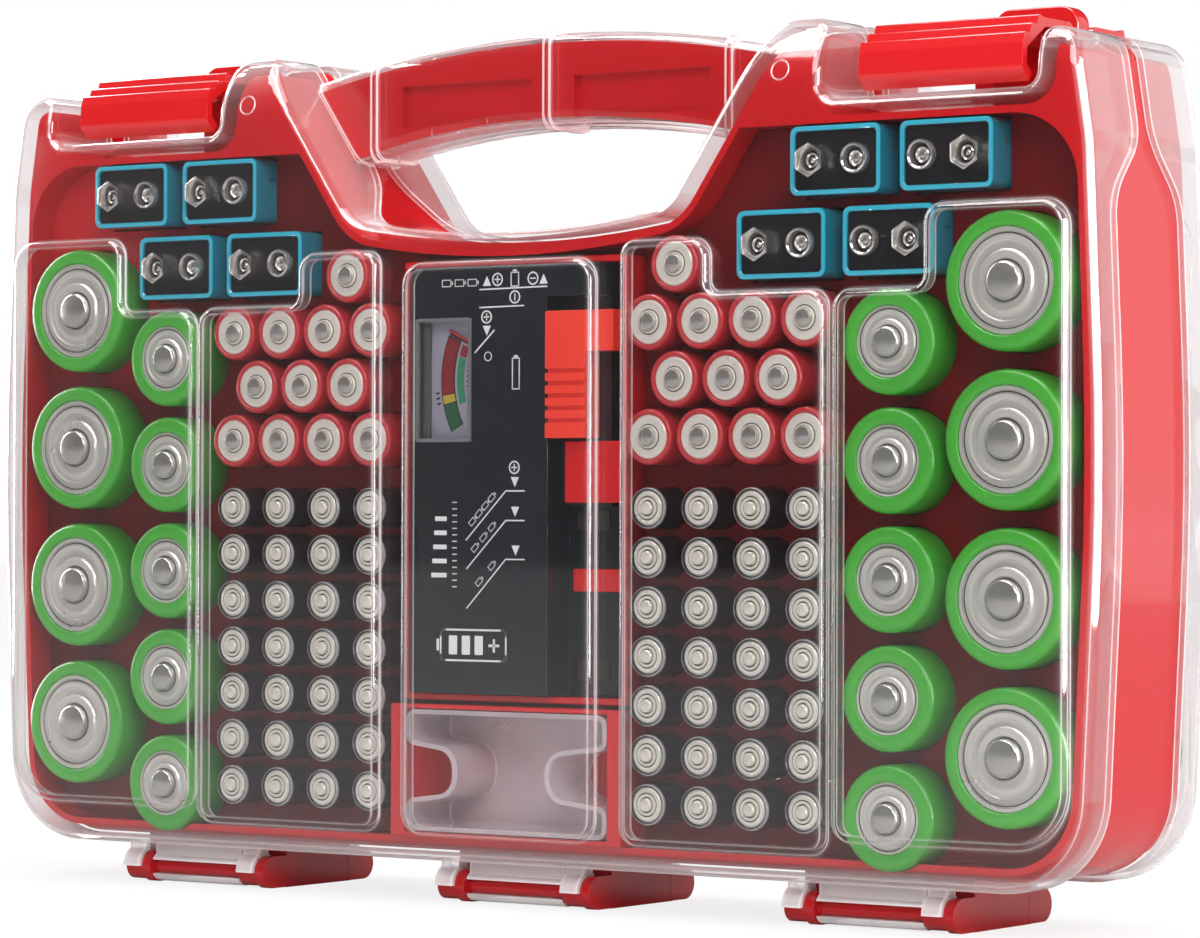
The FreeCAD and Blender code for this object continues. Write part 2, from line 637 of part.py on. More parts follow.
# ---------------------------------------------------------------- tester, its bay and the coin box
def tester_bay():
    y = ("-bay_front", "bay_back")
    shell = block("bay_outer", ("-bay_half", "bay_half"), y, ("bay_low", "bay_high"))
    inside = ("-bay_half + bay_wall", "bay_half - bay_wall")
    hollow = block(
        "bay_hollow", inside, ("-bay_front - 1", "bay_back - bay_wall"),
        ("bay_low + bay_wall", "bay_high - bay_wall"),
    )
    frame = cut("bay_frame", shell, hollow)
    reach = ("tab_inner", "bay_half - bay_wall + tester_seat")
    tabs = [
        block(
            "bay_tab", reach, ("-tester_guide - tab_gap - tab_thick", "-tester_guide - tab_gap"),
            ("tab_low", "tab_high"),
        ),
        block(
            "bay_clip", reach, ("-tester_step - tab_gap - tab_thick", "-tester_step - tab_gap"),
            ("clip_low", "clip_high"),
        ),
    ]
    return fused("tester_bay", [frame] + tabs)


def tester_body():
    low = "bay_low + bay_wall + tester_seat"
    high = "bay_high - bay_wall - tester_seat"
    right = "tester_right"
    core = block("tester_core", ("-tester_left", right), ("-tester_step", "-tester_back"), (low, high))
    face = block("tester_face", ("-tester_left", "face_right"), ("-tester_front", "-tester_step"), (low, high))
    guide = block(
        "tester_guide_pad", ("face_right", right), ("-tester_guide", "-tester_step"), ("guide_low", high),
    )
    strip = block(
        "tester_top_strip", ("face_right", right), ("-tester_front", "-tester_step"), ("strip_low", high),
    )
    whole = fused("tester_whole", [core, face, guide, strip])
    meter = block(
        "meter_recess", ("-meter_left", "-meter_right"), ("-tester_front - 1", "-tester_front + meter_depth"),
        ("meter_low", "meter_high"),
    )
    chamber = block(
        "meter_chamber", ("-meter_right - 1", "chamber_right"),
        ("-tester_front + chamber_skin", "-tester_front + meter_depth"), ("meter_low", "meter_high"),
    )
    slot = block(
        "slider_slot", ("stem_left - slider_gap", "stem_right + slider_gap"),
        ("-tester_guide - 1", "-tester_guide + stem_depth + slider_gap"),
        ("stem_low - slider_gap", "stem_high + slider_travel + slider_gap"),
    )
    groove = block(
        "slider_groove", ("slider_left - slider_gap", "face_right + 0.1"),
        ("-tester_front - 1", "-tester_guide"),
        ("slider_low - slider_gap", "foot_low + foot_height + slider_travel + slider_gap"),
    )
    return cut("tester_body", whole, fused("tester_hollows", [meter, chamber, slot, groove]))


def needle_shape(front):
    """Pointer: a boss on the pivot and a blade that rests at its upper end."""
    pivot = V(d.pivot_across, front, d.pivot_height)
    depth = V(0, d.needle_thick, 0)
    boss = Part.makeCylinder(d.pivot_boss, d.needle_thick, pivot, V(0, 1, 0))
    blade = Part.makeBox(
        d.needle_length, d.needle_thick, d.needle_width,
        pivot - V(d.needle_length, 0, d.needle_width / 2),
    )
    blade.rotate(pivot, V(0, 1, 0), d.needle_angle)
    bore = Part.makeCylinder(d.pivot_radius + d.pivot_gap, d.needle_thick + 1, pivot - depth, V(0, 1, 0))
    return boss.fuse(blade).cut(bore)


def meter_parts():
    """Dial plate with the pivot, pointer, and the clear window over its left part."""
    floor = "-tester_front + meter_depth"
    gap = "window_gap"
    across = (f"-meter_left + {gap}", f"-meter_right - {gap}")
    up = (f"meter_low + {gap}", f"meter_high - {gap}")
    plate = block(
        "dial_plate", (f"-meter_left + {gap}", f"chamber_right - {gap}"), (f"{floor} - dial_thick", floor), up,
    )
    pin_face = "-tester_front + chamber_skin + pin_room"
    pin = rod(
        "dial_pin", "y", "pivot_radius", f"({floor}) - ({pin_face})", "pivot_across", pin_face, "pivot_height",
    )
    fused("tester_dial", [plate, pin])
    block("tester_window", across, ("-tester_front", "-tester_front + window_thick"), up)
    needle_front = -d.tester_front + d.meter_depth - d.dial_thick - d.needle_room - d.needle_thick
    shaped("tester_needle", needle_shape(needle_front))


def tester_slider():
    """Finger slide with grip ribs, a foot to the right and a stem in the tester's slot."""
    back = "-tester_guide - slider_gap"
    grip = block("slider_grip", ("slider_left", "slider_right"), ("-slider_front", back), ("slider_low", "slider_high"))
    foot = block(
        "slider_foot", ("slider_left", "foot_reach"), ("-slider_front + foot_setback", back),
        ("foot_low", "foot_low + foot_height"),
    )
    stem = block(
        "slider_stem", ("stem_left", "stem_right"), (back, "-tester_guide + stem_depth"),
        ("stem_low", "stem_high"),
    )
    grooves = []
    for index in range(5):
        low = f"slider_low + groove_first + {index} * groove_pitch"
        grooves.append(block(
            f"slider_groove_{index}", ("slider_left - 1", "slider_right + 1"),
            ("-slider_front - 1", "-slider_front + slider_rib"), (low, f"{low} + groove_width"),
        ))
    return cut("tester_slider", fused("slider_solid", [grip, foot, stem]), fused("slider_grooves", grooves))


def tester_contacts():
    """Two sprung plates in the cell channel of the tester's right side."""
    middle = "(face_right + tester_right) / 2"
    across = (f"{middle} - contact_size", f"{middle} + contact_size")
    y = ("-tester_step - contact_thick", "-tester_step")
    first, last = "bay_low + contact_inset", "guide_low - contact_drop"
    low = block("contact_low", across, y, (first, f"{first} + contact_size"))
    high = block("contact_high", across, y, (f"{last} - contact_size", last))
    return group("tester_contacts", [low, high])


def coin_bay():
    outer = block(
        "coin_bay_outer", ("-coin_half", "coin_half"), ("-coin_front", "-coin_back"), ("coin_low", "coin_high"),
    )
    inner = block(
        "coin_bay_inner", ("-coin_half + coin_side", "coin_half - coin_side"),
        ("-coin_front - 1", "-coin_back - coin_floor"), ("coin_low + coin_wall", "coin_high - coin_wall"),
    )
    return cut("coin_bay", outer, inner)


def coin_box_face(y, drawn_in):
    """Hourglass outline of the coin cell box."""
    half = d.coin_half - d.coin_side - d.coin_gap
    low = d.coin_low + d.coin_wall + d.coin_gap
    high = d.coin_high - d.coin_wall - d.coin_gap
    right = [
        (half, low, 3.0), (half, d.box_notch_low, 3.0), (d.box_notch_right, d.box_notch_low + d.box_lip, 5.0),
        (d.box_notch_right, d.box_notch_high - d.box_lip, 5.0), (half, d.box_notch_high, 3.0), (half, high, 3.0),
    ]
    left = [
        (-half, high, 3.0), (-half, d.box_notch_high, 3.0), (-d.box_notch_left, d.box_notch_high - d.box_lip, 5.0),
        (-d.box_notch_left, d.box_notch_low + d.box_lip, 5.0), (-half, d.box_notch_low, 3.0), (-half, low, 3.0),
    ]
    return inset(front_face(right + left, y), drawn_in)


def coin_box_shape():
    """Open tray for coin cells, waisted for the fingers that lift it out."""
    front = -d.coin_front + d.box_setback
    outside = coin_box_face(front, 0.0).extrude(V(0, -d.box_back - front, 0))
    depth = -d.box_back - d.box_wall - front
    inside = coin_box_face(front, d.box_wall).extrude(V(0, depth, 0))
    return outside.cut(inside)


# ---------------------------------------------------------------- latches and brackets
LATCH_STARTS = {
    "left": d.latch_left_margin - d.recess_outer,
    "right": d.recess_outer - d.latch_right_margin - d.latch_width,
}
LATCH_ORIGINS = {"left": LATCH_LEFT, "right": LATCH_RIGHT}


def latch_profile(x):
    """Side view of a front latch: hook, three teeth, top plate; drawn at the given x."""
    front, floor, thick = -d.cover_front, d.recess_floor, d.latch_thick
    knee = floor + d.hook_gap + d.hook_knee
    outer = [
        (front + d.hook_back, floor + d.hook_gap, 0.0),
        (front + d.hook_bulge, knee, thick),
    ]
    for tooth in range(3):
        across = front + d.teeth_back + tooth * d.tooth_run
        height = floor + d.teeth_height + tooth * d.tooth_rise
        outer.append((across, height, 0.0))
        outer.append((across + d.tooth_step, height + d.tooth_height, 0.5))
    plate_top = d.latch_axis_height + d.latch_barrel
    outer += [(front + d.plate_front, plate_top, 0.0), (-d.latch_axis, plate_top, 0.0)]
    inside = front + d.hook_bulge + thick
    inner = [
        (-d.latch_axis, plate_top - thick, 0.0),
        (front + d.plate_front + 0.6, plate_top - thick - 0.2, 3.0),
        (inside + 0.4, floor + d.teeth_height - 1.0, 1.5),
        (inside + 0.2, knee + 1.2, 1.5),
        (front + d.hook_back + 1.4, knee - 1.0, 0.0),
    ]
    return rounded_face(outer + inner, lambda point: V(x, point.x, point.y))


def latch_shape(side):
    """A front latch: hooked plate with two barrels, open round the bracket's knuckle."""
    start = LATCH_STARTS[side]
    bracket = start + d.bracket_offset
    low, high = d.recess_floor, d.latch_axis_height + 2 * d.notch_reach
    plate = latch_profile(start).extrude(V(d.latch_width, 0, 0))
    axis = (-d.latch_axis, d.latch_axis_height)
    clear = d.notch_reach
    notches = [
        box_between(
            bracket + d.knuckle_start - d.knuckle_gap, bracket + d.knuckle_end + d.knuckle_gap,
            axis[0] - clear, 0.0, low, high,
        ),
    ]
    plate = plate.cut(notches)
    spans = [
        (d.knuckle_gap, d.knuckle_start - d.knuckle_gap),
        (d.knuckle_end + d.knuckle_gap, d.bracket_width - d.knuckle_gap),
    ]
    along = V(1, 0, 0)
    for near, far in spans:
        centre = V(bracket + near, axis[0], axis[1])
        plate = plate.fuse(Part.makeCylinder(d.latch_barrel, far - near, centre, along))
    bore_start = V(start - 1, axis[0], axis[1])
    bore = Part.makeCylinder(d.pin_radius + d.pin_gap, d.latch_width + 2, bore_start, along)
    return plate.cut(bore).removeSplitter()


def latch_bracket(side):
    """Upright plate in the seam that carries a front and a back latch."""
    start = f"{LATCH_ORIGINS[side]} + bracket_offset"
    plate = block(
        f"bracket_plate_{side}", (start, f"{start} + bracket_width"),
        ("-bracket_half_depth", "bracket_half_depth"), ("bracket_low", "bracket_high"),
    )
    rounds = doc.addObject("Part::Fillet", f"bracket_rounds_{side}")
    rounds.Base = plate
    doc.recompute()
    top_edges = [
        index for index, edge in enumerate(plate.Shape.Edges, start=1)
        if edge.BoundBox.ZMin > d.bracket_high - 1e-4 and edge.BoundBox.YLength > 1.0
    ]
    rounds.Edges = [(index, d.bracket_round, d.bracket_round) for index in top_edges]
    pieces = [rounds]
    bores = []
    width = "knuckle_end - knuckle_start"
    for face, sign_y in (("front", "-"), ("back", "")):
        y = f"{sign_y}latch_axis"
        name = f"{side}_{face}"
        inner = f"{start} + knuckle_start"
        pieces.append(rod(f"knuckle_{name}", "x", "latch_barrel", width, inner, y, "latch_axis_height"))
        lows = (f"{sign_y}latch_axis", "0") if sign_y else ("0", "latch_axis")
        pieces.append(block(
            f"knuckle_web_{name}", (inner, f"{start} + knuckle_end"), lows,
            ("latch_axis_height - web_half", "latch_axis_height + web_half"),
        ))
        bores.append(rod(
            f"knuckle_bore_{name}", "x", "pin_radius", f"{width} + 2", f"{inner} - 1", y, "latch_axis_height",
        ))
    return cut(f"latch_bracket_{side}", fused(f"bracket_solid_{side}", pieces), fused(f"bores_{side}", bores))


def latch_pins():
    pins = []
    for side, origin in LATCH_ORIGINS.items():
        for face, y in (("front", "-latch_axis"), ("back", "latch_axis")):
            start = f"{origin} + bracket_offset + knuckle_gap"
            length = "bracket_width - 2 * knuckle_gap"
            pins.append(rod(f"pin_{side}_{face}", "x", "pin_radius", length, start, y, "latch_axis_height"))
    return group("latch_pins", pins)


# ---------------------------------------------------------------- hinge blocks
def hinge_block(name, centre):
    """Foot block under the body with a hinge rod along its front and its back."""
    low, high = f"{centre} - block_half_length", f"{centre} + block_half_length"
    main = block(f"{name}_main", (low, high), ("-block_half_depth", "block_half_depth"), ("0", "block_top"))
    hollow = doc.addObject("Part::Wedge", f"{name}_arch")
    foot = "block_foot"
    wedge = {
        "Xmin": f"{low} + {foot}", "Xmax": f"{high} - {foot}", "X2min": centre, "X2max": centre,
        "Ymin": "-0.01", "Ymax": "block_rise", "Zmin": "-block_half_depth - 1", "Zmax": "block_half_depth + 1",
        "Z2min": "-block_half_depth - 1", "Z2max": "block_half_depth + 1",
    }
    for name_of_size, text in wedge.items():
        hollow.setExpression(name_of_size, formula(text))
    hollow.Placement.Rotation = FreeCAD.Rotation(V(1, 0, 0), 90)
    pieces = [cut(f"{name}_foot", main, hollow)]
    disc_outer = "rod_half + disc_thick"
    cheek = f"{centre} + rod_half + hub_length + cheek_gap"
    for face, sign in (("front", "-"), ("back", "")):
        y = f"{sign}hinge_axis"
        web = ("-hinge_axis", "-block_half_depth + 1") if sign else ("block_half_depth - 1", "hinge_axis")
        height = ("hinge_height - disc_radius", "hinge_height + disc_radius")
        tag = f"{name}_{face}"
        rounds = [
            ("disc", "disc_radius", "disc_thick", f"{centre} - ({disc_outer})"),
            ("cheek", "disc_radius", "cheek_thick", cheek),
            ("rod", "rod_radius", "2 * rod_half + 2", f"{centre} - rod_half - 1"),
            ("left_hub", "hub_radius", "hub_length + 1", f"{centre} - ({disc_outer}) - hub_length"),
            ("right_hub", "hub_radius", "hub_length + 1", f"{centre} + rod_half"),
        ]
        for part, radius, length, x in rounds:
            pieces.append(rod(f"{tag}_{part}", "x", radius, length, x, y, "hinge_height"))
        for part, x, length in (("disc_web", rounds[0][3], "disc_thick"), ("cheek_web", cheek, "cheek_thick")):
            pieces.append(block(f"{tag}_{part}", (x, f"{x} + {length}"), web, height))
    return fused(name, pieces)


# ---------------------------------------------------------------- build
def build():
    front_cover = shaped("front_cover", cover_shape())
    mirrored("back_cover", front_cover)
    shaped("body_shell", body_shape())
    shaped("front_tray", tray_shape(-d.front_tray_back - d.tray_thick))
    shaped("rear_tray", tray_shape(d.rear_tray_front))
    for kind in CELL_GRIDS:
        group(f"{kind}_cells", round_cells(kind))
    shaped("nine_volt_cells", Part.makeCompound([block_cell(x, z) for x, z in block_places()]))
    tester_bay()
    tester_body()
    meter_parts()
    tester_slider()
    tester_contacts()
    coin_bay()
    shaped("coin_cell_box", coin_box_shape())
    for side in LATCH_STARTS:
        latch = shaped(f"latch_front_{side}", latch_shape(side))
        mirrored(f"latch_back_{side}", latch)
        latch_bracket(side)
    latch_pins()
    hinge_block("hinge_block_left", "-hinge_spacing")
    hinge_block("hinge_block_centre", "0")
    hinge_block("hinge_block_right", "hinge_spacing")


NODES = [
    "body_shell", "front_tray", "rear_tray", "tester_bay", "coin_bay",
    "latch_bracket_left", "latch_bracket_right", "latch_pins",
    "hinge_block_left", "hinge_block_centre", "hinge_block_right",
    "d_cells", "c_cells", "aa_cells", "aaa_cells", "nine_volt_cells",
    "tester_body", "tester_window", "tester_dial", "tester_needle", "tester_slider",
    "tester_contacts", "coin_cell_box", "front_cover", "back_cover",
    "latch_front_left", "latch_front_right", "latch_back_left", "latch_back_right",
]

build()
doc.recompute()

# ---------------------------------------------------------------- checks and export
for item in doc.Objects:
    bad = [state for state in item.State if state in ("Invalid", "Error")]
    if bad:
        raise RuntimeError(f"{item.Label}: {bad}")

os.makedirs("parts", exist_ok=True)
for node in NODES:
    item = doc.getObject(node)
    item.Label = node
    if item.Shape.isNull() or not item.Shape.isValid():
        raise RuntimeError(f"{node}: bad shape")
    item.Shape.exportStep(f"parts/{node}.step")
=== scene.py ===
import math

import bmesh
import bpy
from mathutils import Matrix, Vector


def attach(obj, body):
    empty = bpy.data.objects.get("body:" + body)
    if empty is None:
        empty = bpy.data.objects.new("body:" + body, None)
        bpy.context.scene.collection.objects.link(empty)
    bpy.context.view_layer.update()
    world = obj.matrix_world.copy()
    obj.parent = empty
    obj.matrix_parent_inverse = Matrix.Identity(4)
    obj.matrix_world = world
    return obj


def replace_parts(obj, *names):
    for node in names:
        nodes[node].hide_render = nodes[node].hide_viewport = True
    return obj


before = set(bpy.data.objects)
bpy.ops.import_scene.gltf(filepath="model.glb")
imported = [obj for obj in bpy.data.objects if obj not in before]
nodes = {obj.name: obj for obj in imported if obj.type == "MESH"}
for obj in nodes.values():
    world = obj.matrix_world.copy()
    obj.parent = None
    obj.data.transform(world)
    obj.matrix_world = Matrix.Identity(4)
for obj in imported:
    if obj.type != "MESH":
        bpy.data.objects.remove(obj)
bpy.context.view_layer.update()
MM = 0.001
scene = bpy.context.scene
scene.view_settings.view_transform = "Standard"

# ---------------------------------------------------------------- the table and the light
# A white table top in a plain white room, lit by soft boxes. Both show as white to the eye and
# darker in gloss. Three more boxes, seen only in gloss, draw the glints on the clear covers.
VIEW_TURN = math.radians(35.03)
VIEW_RISE = math.radians(-0.613)
VIEW_ROLL = math.radians(0.169)
VIEW_DISTANCE = 1.11534
VIEW_CENTRE = Vector((0.03028, -0.028, 0.11367))
LENS = 130.8
FAR_CLIP = 20.0


def point_camera():
    ahead = Vector((
        -math.sin(VIEW_TURN) * math.cos(VIEW_RISE),
        math.cos(VIEW_TURN) * math.cos(VIEW_RISE),
        -math.sin(VIEW_RISE),
    ))
    camera = bpy.data.objects.new("camera", bpy.data.cameras.new("camera"))
    scene.collection.objects.link(camera)
    camera.data.lens = LENS
    camera.data.clip_end = FAR_CLIP
    camera.location = VIEW_CENTRE - ahead * VIEW_DISTANCE
    turn = ahead.to_track_quat("-Z", "Y").to_matrix()
    camera.matrix_world = (
        Matrix.Translation(camera.location) @ turn.to_4x4() @ Matrix.Rotation(VIEW_ROLL, 4, "Z")
    )
    scene.camera = camera


point_camera()


class Value:
    """One output of a shader node; sums and products of values add their Math nodes."""

    def __init__(self, shader, socket):
        self.shader = shader
        self.socket = socket

    def maths(self, operation, first, second=0.0):
        sockets = {0: first, 1: second}
        return self.shader.node("ShaderNodeMath", {"operation": operation}, sockets)["Value"]

    def __add__(self, other):
        return self.maths("ADD", self, other)

    def __sub__(self, other):
        return self.maths("SUBTRACT", self, other)

    def __rsub__(self, other):
        return self.maths("SUBTRACT", other, self)

    def __mul__(self, other):
        return self.maths("MULTIPLY", self, other)

    def __pow__(self, other):
        return self.maths("POWER", self, other)

    def __abs__(self):
        return self.maths("ABSOLUTE", self)

    def clamped(self):
        return self.maths("MINIMUM", self.maths("MAXIMUM", self, 0.0), 1.0)

    __radd__ = __add__
    __rmul__ = __mul__


class Shader:
    """The node tree of one material, or of the world."""

    def __init__(self, owner):
        owner.use_nodes = True
        self.owner = owner
        self.tree = owner.node_tree
        self.tree.nodes.clear()

    def node(self, kind, settings=None, sockets=None):
        """A node with its settings made first, then its sockets filled with numbers or links."""
        made = self.tree.nodes.new(kind)
        for name, setting in (settings or {}).items():
            setattr(made, name, setting)
        for name, given in (sockets or {}).items():
            if isinstance(given, Value):
                self.tree.links.new(given.socket, made.inputs[name])
            else:
                made.inputs[name].default_value = given
        return {output.name: Value(self, output) for output in made.outputs if output.enabled}

    def noise(self, scale, detail=2.0, stretch=(1, 1, 1), seed=0.0):
        """Grey clouds on the piece's own coordinates."""
        place = self.node("ShaderNodeTexCoord")["Object"]
        place = self.node("ShaderNodeMapping", {}, {"Vector": place, "Scale": stretch})["Vector"]
        sockets = {"Vector": place, "Scale": scale, "Detail": detail, "W": seed}
        return self.node("ShaderNodeTexNoise", {"noise_dimensions": "4D"}, sockets)["Fac"]

    def blend(self, factor, first, second):
        """Colour between two colours."""
        mix = self.tree.nodes.new("ShaderNodeMix")
        mix.data_type = "RGBA"
        for index, given in ((0, factor), (6, first), (7, second)):
            if isinstance(given, Value):
                self.tree.links.new(given.socket, mix.inputs[index])
            elif index:
                mix.inputs[index].default_value = (*given, 1.0)
            else:
                mix.inputs[index].default_value = given
        return Value(self, mix.outputs[2])

    def bump(self, height, depth):
        return self.node("ShaderNodeBump", {}, {"Height": height, "Distance": depth})["Normal"]

    def mixed(self, share, first, second):
        """One shader laid over another."""
        return self.node("ShaderNodeMixShader", {}, {0: share, 1: first, 2: second})["Shader"]

    def surface(self, sockets):
        principled = self.node("ShaderNodeBsdfPrincipled", {}, sockets)["BSDF"]
        self.output(principled)

    def output(self, shaded, kind="ShaderNodeOutputMaterial"):
        self.node(kind, {}, {"Surface": shaded})


def material(name):
    return Shader(bpy.data.materials.new(name))


def rgb(colour):
    return (*colour, 1.0)


WHITE = (1.0, 1.0, 1.0)
ROOM_LIGHT = (0.74, 0.74, 0.75)
ROOM_IN_GLOSS = (0.045, 0.045, 0.047)


def make_room():
    room = Shader(scene.world or bpy.data.worlds.new("room"))
    scene.world = room.owner
    path = room.node("ShaderNodeLightPath")
    lit = room.blend(path["Is Glossy Ray"], ROOM_LIGHT, ROOM_IN_GLOSS)
    seen = room.blend(path["Is Camera Ray"], lit, WHITE)
    shown = room.node("ShaderNodeBackground", {}, {"Color": seen, "Strength": 1.0})["Background"]
    room.output(shown, "ShaderNodeOutputWorld")


make_room()


def new_object(name, mesh, surface=None):
    thing = bpy.data.objects.new(name, mesh)
    scene.collection.objects.link(thing)
    if surface:
        mesh.materials.append(surface.owner)
    return thing


TABLE_HALF = 6.0
TABLE_TONE = (0.86, 0.86, 0.86)
TABLE_IN_GLOSS = (0.38, 0.38, 0.38)
TABLE_GLOW = 0.82  # share that shows as plain white to the eye; the rest takes the shadow


def table_top():
    white = material("table_white")
    path = white.node("ShaderNodeLightPath")
    tone = white.blend(path["Is Glossy Ray"], TABLE_TONE, TABLE_IN_GLOSS)
    matt = white.node("ShaderNodeBsdfDiffuse", {}, {"Color": tone})["BSDF"]
    glow = white.node("ShaderNodeEmission", {}, {"Color": rgb(WHITE), "Strength": 1.0})["Emission"]
    white.output(white.mixed(path["Is Camera Ray"] * TABLE_GLOW, matt, glow))
    mesh = bpy.data.meshes.new("table_top")
    half = TABLE_HALF
    corners = [(-half, -half, 0), (half, -half, 0), (half, half, 0), (-half, half, 0)]
    mesh.from_pydata(corners, [], [(0, 1, 2, 3)])
    new_object("table_top", mesh, white)


table_top()

LAMP_AIM = (0.0, 0.0, 0.11)
LAMPS = {
    # name: place, width, height, watts, seen only in gloss
    "key": ((1.15, -1.15, 1.15), 0.8, 0.8, 18.0, False),
    "top": ((0.0, 0.15, 1.7), 1.3, 0.7, 18.0, False),
    "side": ((0.95, 1.15, 0.35), 1.2, 1.2, 4.5, False),
    "left_box": ((-1.3, 0.40, 0.45), 1.4, 1.4, 90.0, True),
    "right_box": ((0.95, 0.0, 0.22), 0.8, 0.6, 36.0, True),
    "top_box": ((-0.1, -0.35, 1.4), 1.3, 0.7, 40.0, True),
}


def hang_lamps():
    for name, (place, width, height, watts, gloss_only) in LAMPS.items():
        lamp = bpy.data.lights.new(name, "AREA")
        lamp.shape = "RECTANGLE"
        lamp.size = width
        lamp.size_y = height
        lamp.energy = watts
        thing = bpy.data.objects.new(name, lamp)
        scene.collection.objects.link(thing)
        thing.visible_diffuse = not gloss_only
        turn = (Vector(LAMP_AIM) - Vector(place)).to_track_quat("-Z", "Y").to_matrix()
        thing.matrix_world = Matrix.Translation(place) @ turn.to_4x4()


hang_lamps()

# ---------------------------------------------------------------- moulded body
# One injection-moulded shell in bright red ABS with a polished face. It carries the trays inside
# and ends in the core of the handle; the covers close over its front and back edges.
FINE_GRAIN = 0.00002
COAT_GLOSS = 0.05


def moulded(name, colour, deep, gloss=0.16, coat=0.35):
    """Polished moulding: faint clouding, fine flow grain, slightly uneven gloss."""
    plastic = material(name)
    cloud = plastic.noise(scale=14.0, detail=3.0)
    fine = plastic.noise(scale=900.0, seed=3.0)
    flow = plastic.noise(scale=160.0, detail=3.0, seed=7.0)
    plastic.surface({
        "Base Color": plastic.blend(cloud, deep, colour),
        "Roughness": fine * 0.06 + (gloss - 0.03) + cloud * 0.05,
        "Normal": plastic.bump(flow, FINE_GRAIN),
        "Coat Weight": coat,
        "Coat Roughness": COAT_GLOSS,
    })
    return plastic


def dress(name, surface):
    """Puts one material on a node of the frame."""
    slots = nodes[name].data.materials
    slots.clear()
    slots.append(surface.owner)


SAME_POINT = 0.00001
SAME_PLANE = math.radians(0.5)
SHARP_EDGE = math.radians(40)


def soften(name, width):
    """Breaks the sharp edges of a node of the frame."""
    thing = nodes[name]
    weld = thing.modifiers.new("weld", "WELD")
    weld.merge_threshold = SAME_POINT
    flat = thing.modifiers.new("flat", "DECIMATE")
    flat.decimate_type = "DISSOLVE"
    flat.angle_limit = SAME_PLANE
    edge = thing.modifiers.new("edge", "BEVEL")
    edge.width = width
    edge.segments = 3
    edge.limit_method = "ANGLE"
    edge.angle_limit = SHARP_EDGE
    edge.use_clamp_overlap = True
    edge.harden_normals = True


body_red = moulded("body_red", (0.66, 0.008, 0.012), (0.56, 0.006, 0.009))
dress("body_shell", body_red)

# ---------------------------------------------------------------- trays
# Two perforated plates pressed into the body, in a deeper red and less polished than it; the deeper red
# is painted shade between the cells. The cells push through their holes and stand in both plates.
TRAY_PAINTED_LIGHT = (0.62, 0.012, 0.016)
PAINTED_LIGHT_LEFT = -0.104  # the painted light starts left of this x, in metres
PAINTED_LIGHT_ABOVE = 0.130  # and above this height
PAINTED_LIGHT_RISE_ACROSS = 24.0
PAINTED_LIGHT_RISE_UP = 20.0


def tray_surface():
    """Deep red as painted shade between the cells, with painted light brightening it toward the upper
    left corner.
    """
    tray = material("tray_red")
    place = tray.node("ShaderNodeTexCoord")["Object"]
    along = tray.node("ShaderNodeSeparateXYZ", {}, {"Vector": place})
    across = ((PAINTED_LIGHT_LEFT - along["X"]) * PAINTED_LIGHT_RISE_ACROSS).clamped()
    up = ((along["Z"] - PAINTED_LIGHT_ABOVE) * PAINTED_LIGHT_RISE_UP).clamped()
    cloud = tray.noise(scale=20.0, detail=3.0)
    deep = tray.blend(cloud, (0.13, 0.002, 0.003), (0.19, 0.003, 0.004))
    tray.surface({
        "Base Color": tray.blend(across * up, deep, TRAY_PAINTED_LIGHT),
        "Roughness": tray.noise(scale=300.0, seed=4.0) * 0.08 + 0.40,
        "Specular IOR Level": 0.25,
    })
    return tray


tray_red = tray_surface()
dress("front_tray", tray_red)
dress("rear_tray", tray_red)

# ---------------------------------------------------------------- round cells
# Drawn steel cans with a pressed contact end, each shrink-wrapped in a printed sleeve whose lip
# folds over the rim. They are turned profiles, set out on the trays' grid.
SIDES = 40
TURNED_SHARP = math.radians(50)


def turned(name, profile):
    """A profile of (radius, depth) turned about the Y axis, depth running backwards."""
    shape = bmesh.new()
    rings = []
    for radius, depth in profile:
        if radius == 0:
            rings.append([shape.verts.new((0, depth * MM, 0))])
            continue
        ring = []
        for step in range(SIDES):
            angle = 2 * math.pi * step / SIDES
            place = (radius * MM * math.cos(angle), depth * MM, radius * MM * math.sin(angle))
            ring.append(shape.verts.new(place))
        rings.append(ring)
    for inner, outer in zip(rings, rings[1:]):
        for step in range(SIDES):
            following = (step + 1) % SIDES
            corners = [inner[step % len(inner)], inner[following % len(inner)]]
            corners += [outer[following % len(outer)], outer[step % len(outer)]]
            shape.faces.new(list(dict.fromkeys(corners)))
    bmesh.ops.recalc_face_normals(shape, faces=shape.faces)
    mesh = bpy.data.meshes.new(name)
    shape.to_mesh(mesh)
    shape.free()
    mesh.shade_smooth()
    mesh.set_sharp_from_angle(angle=TURNED_SHARP)
    return mesh


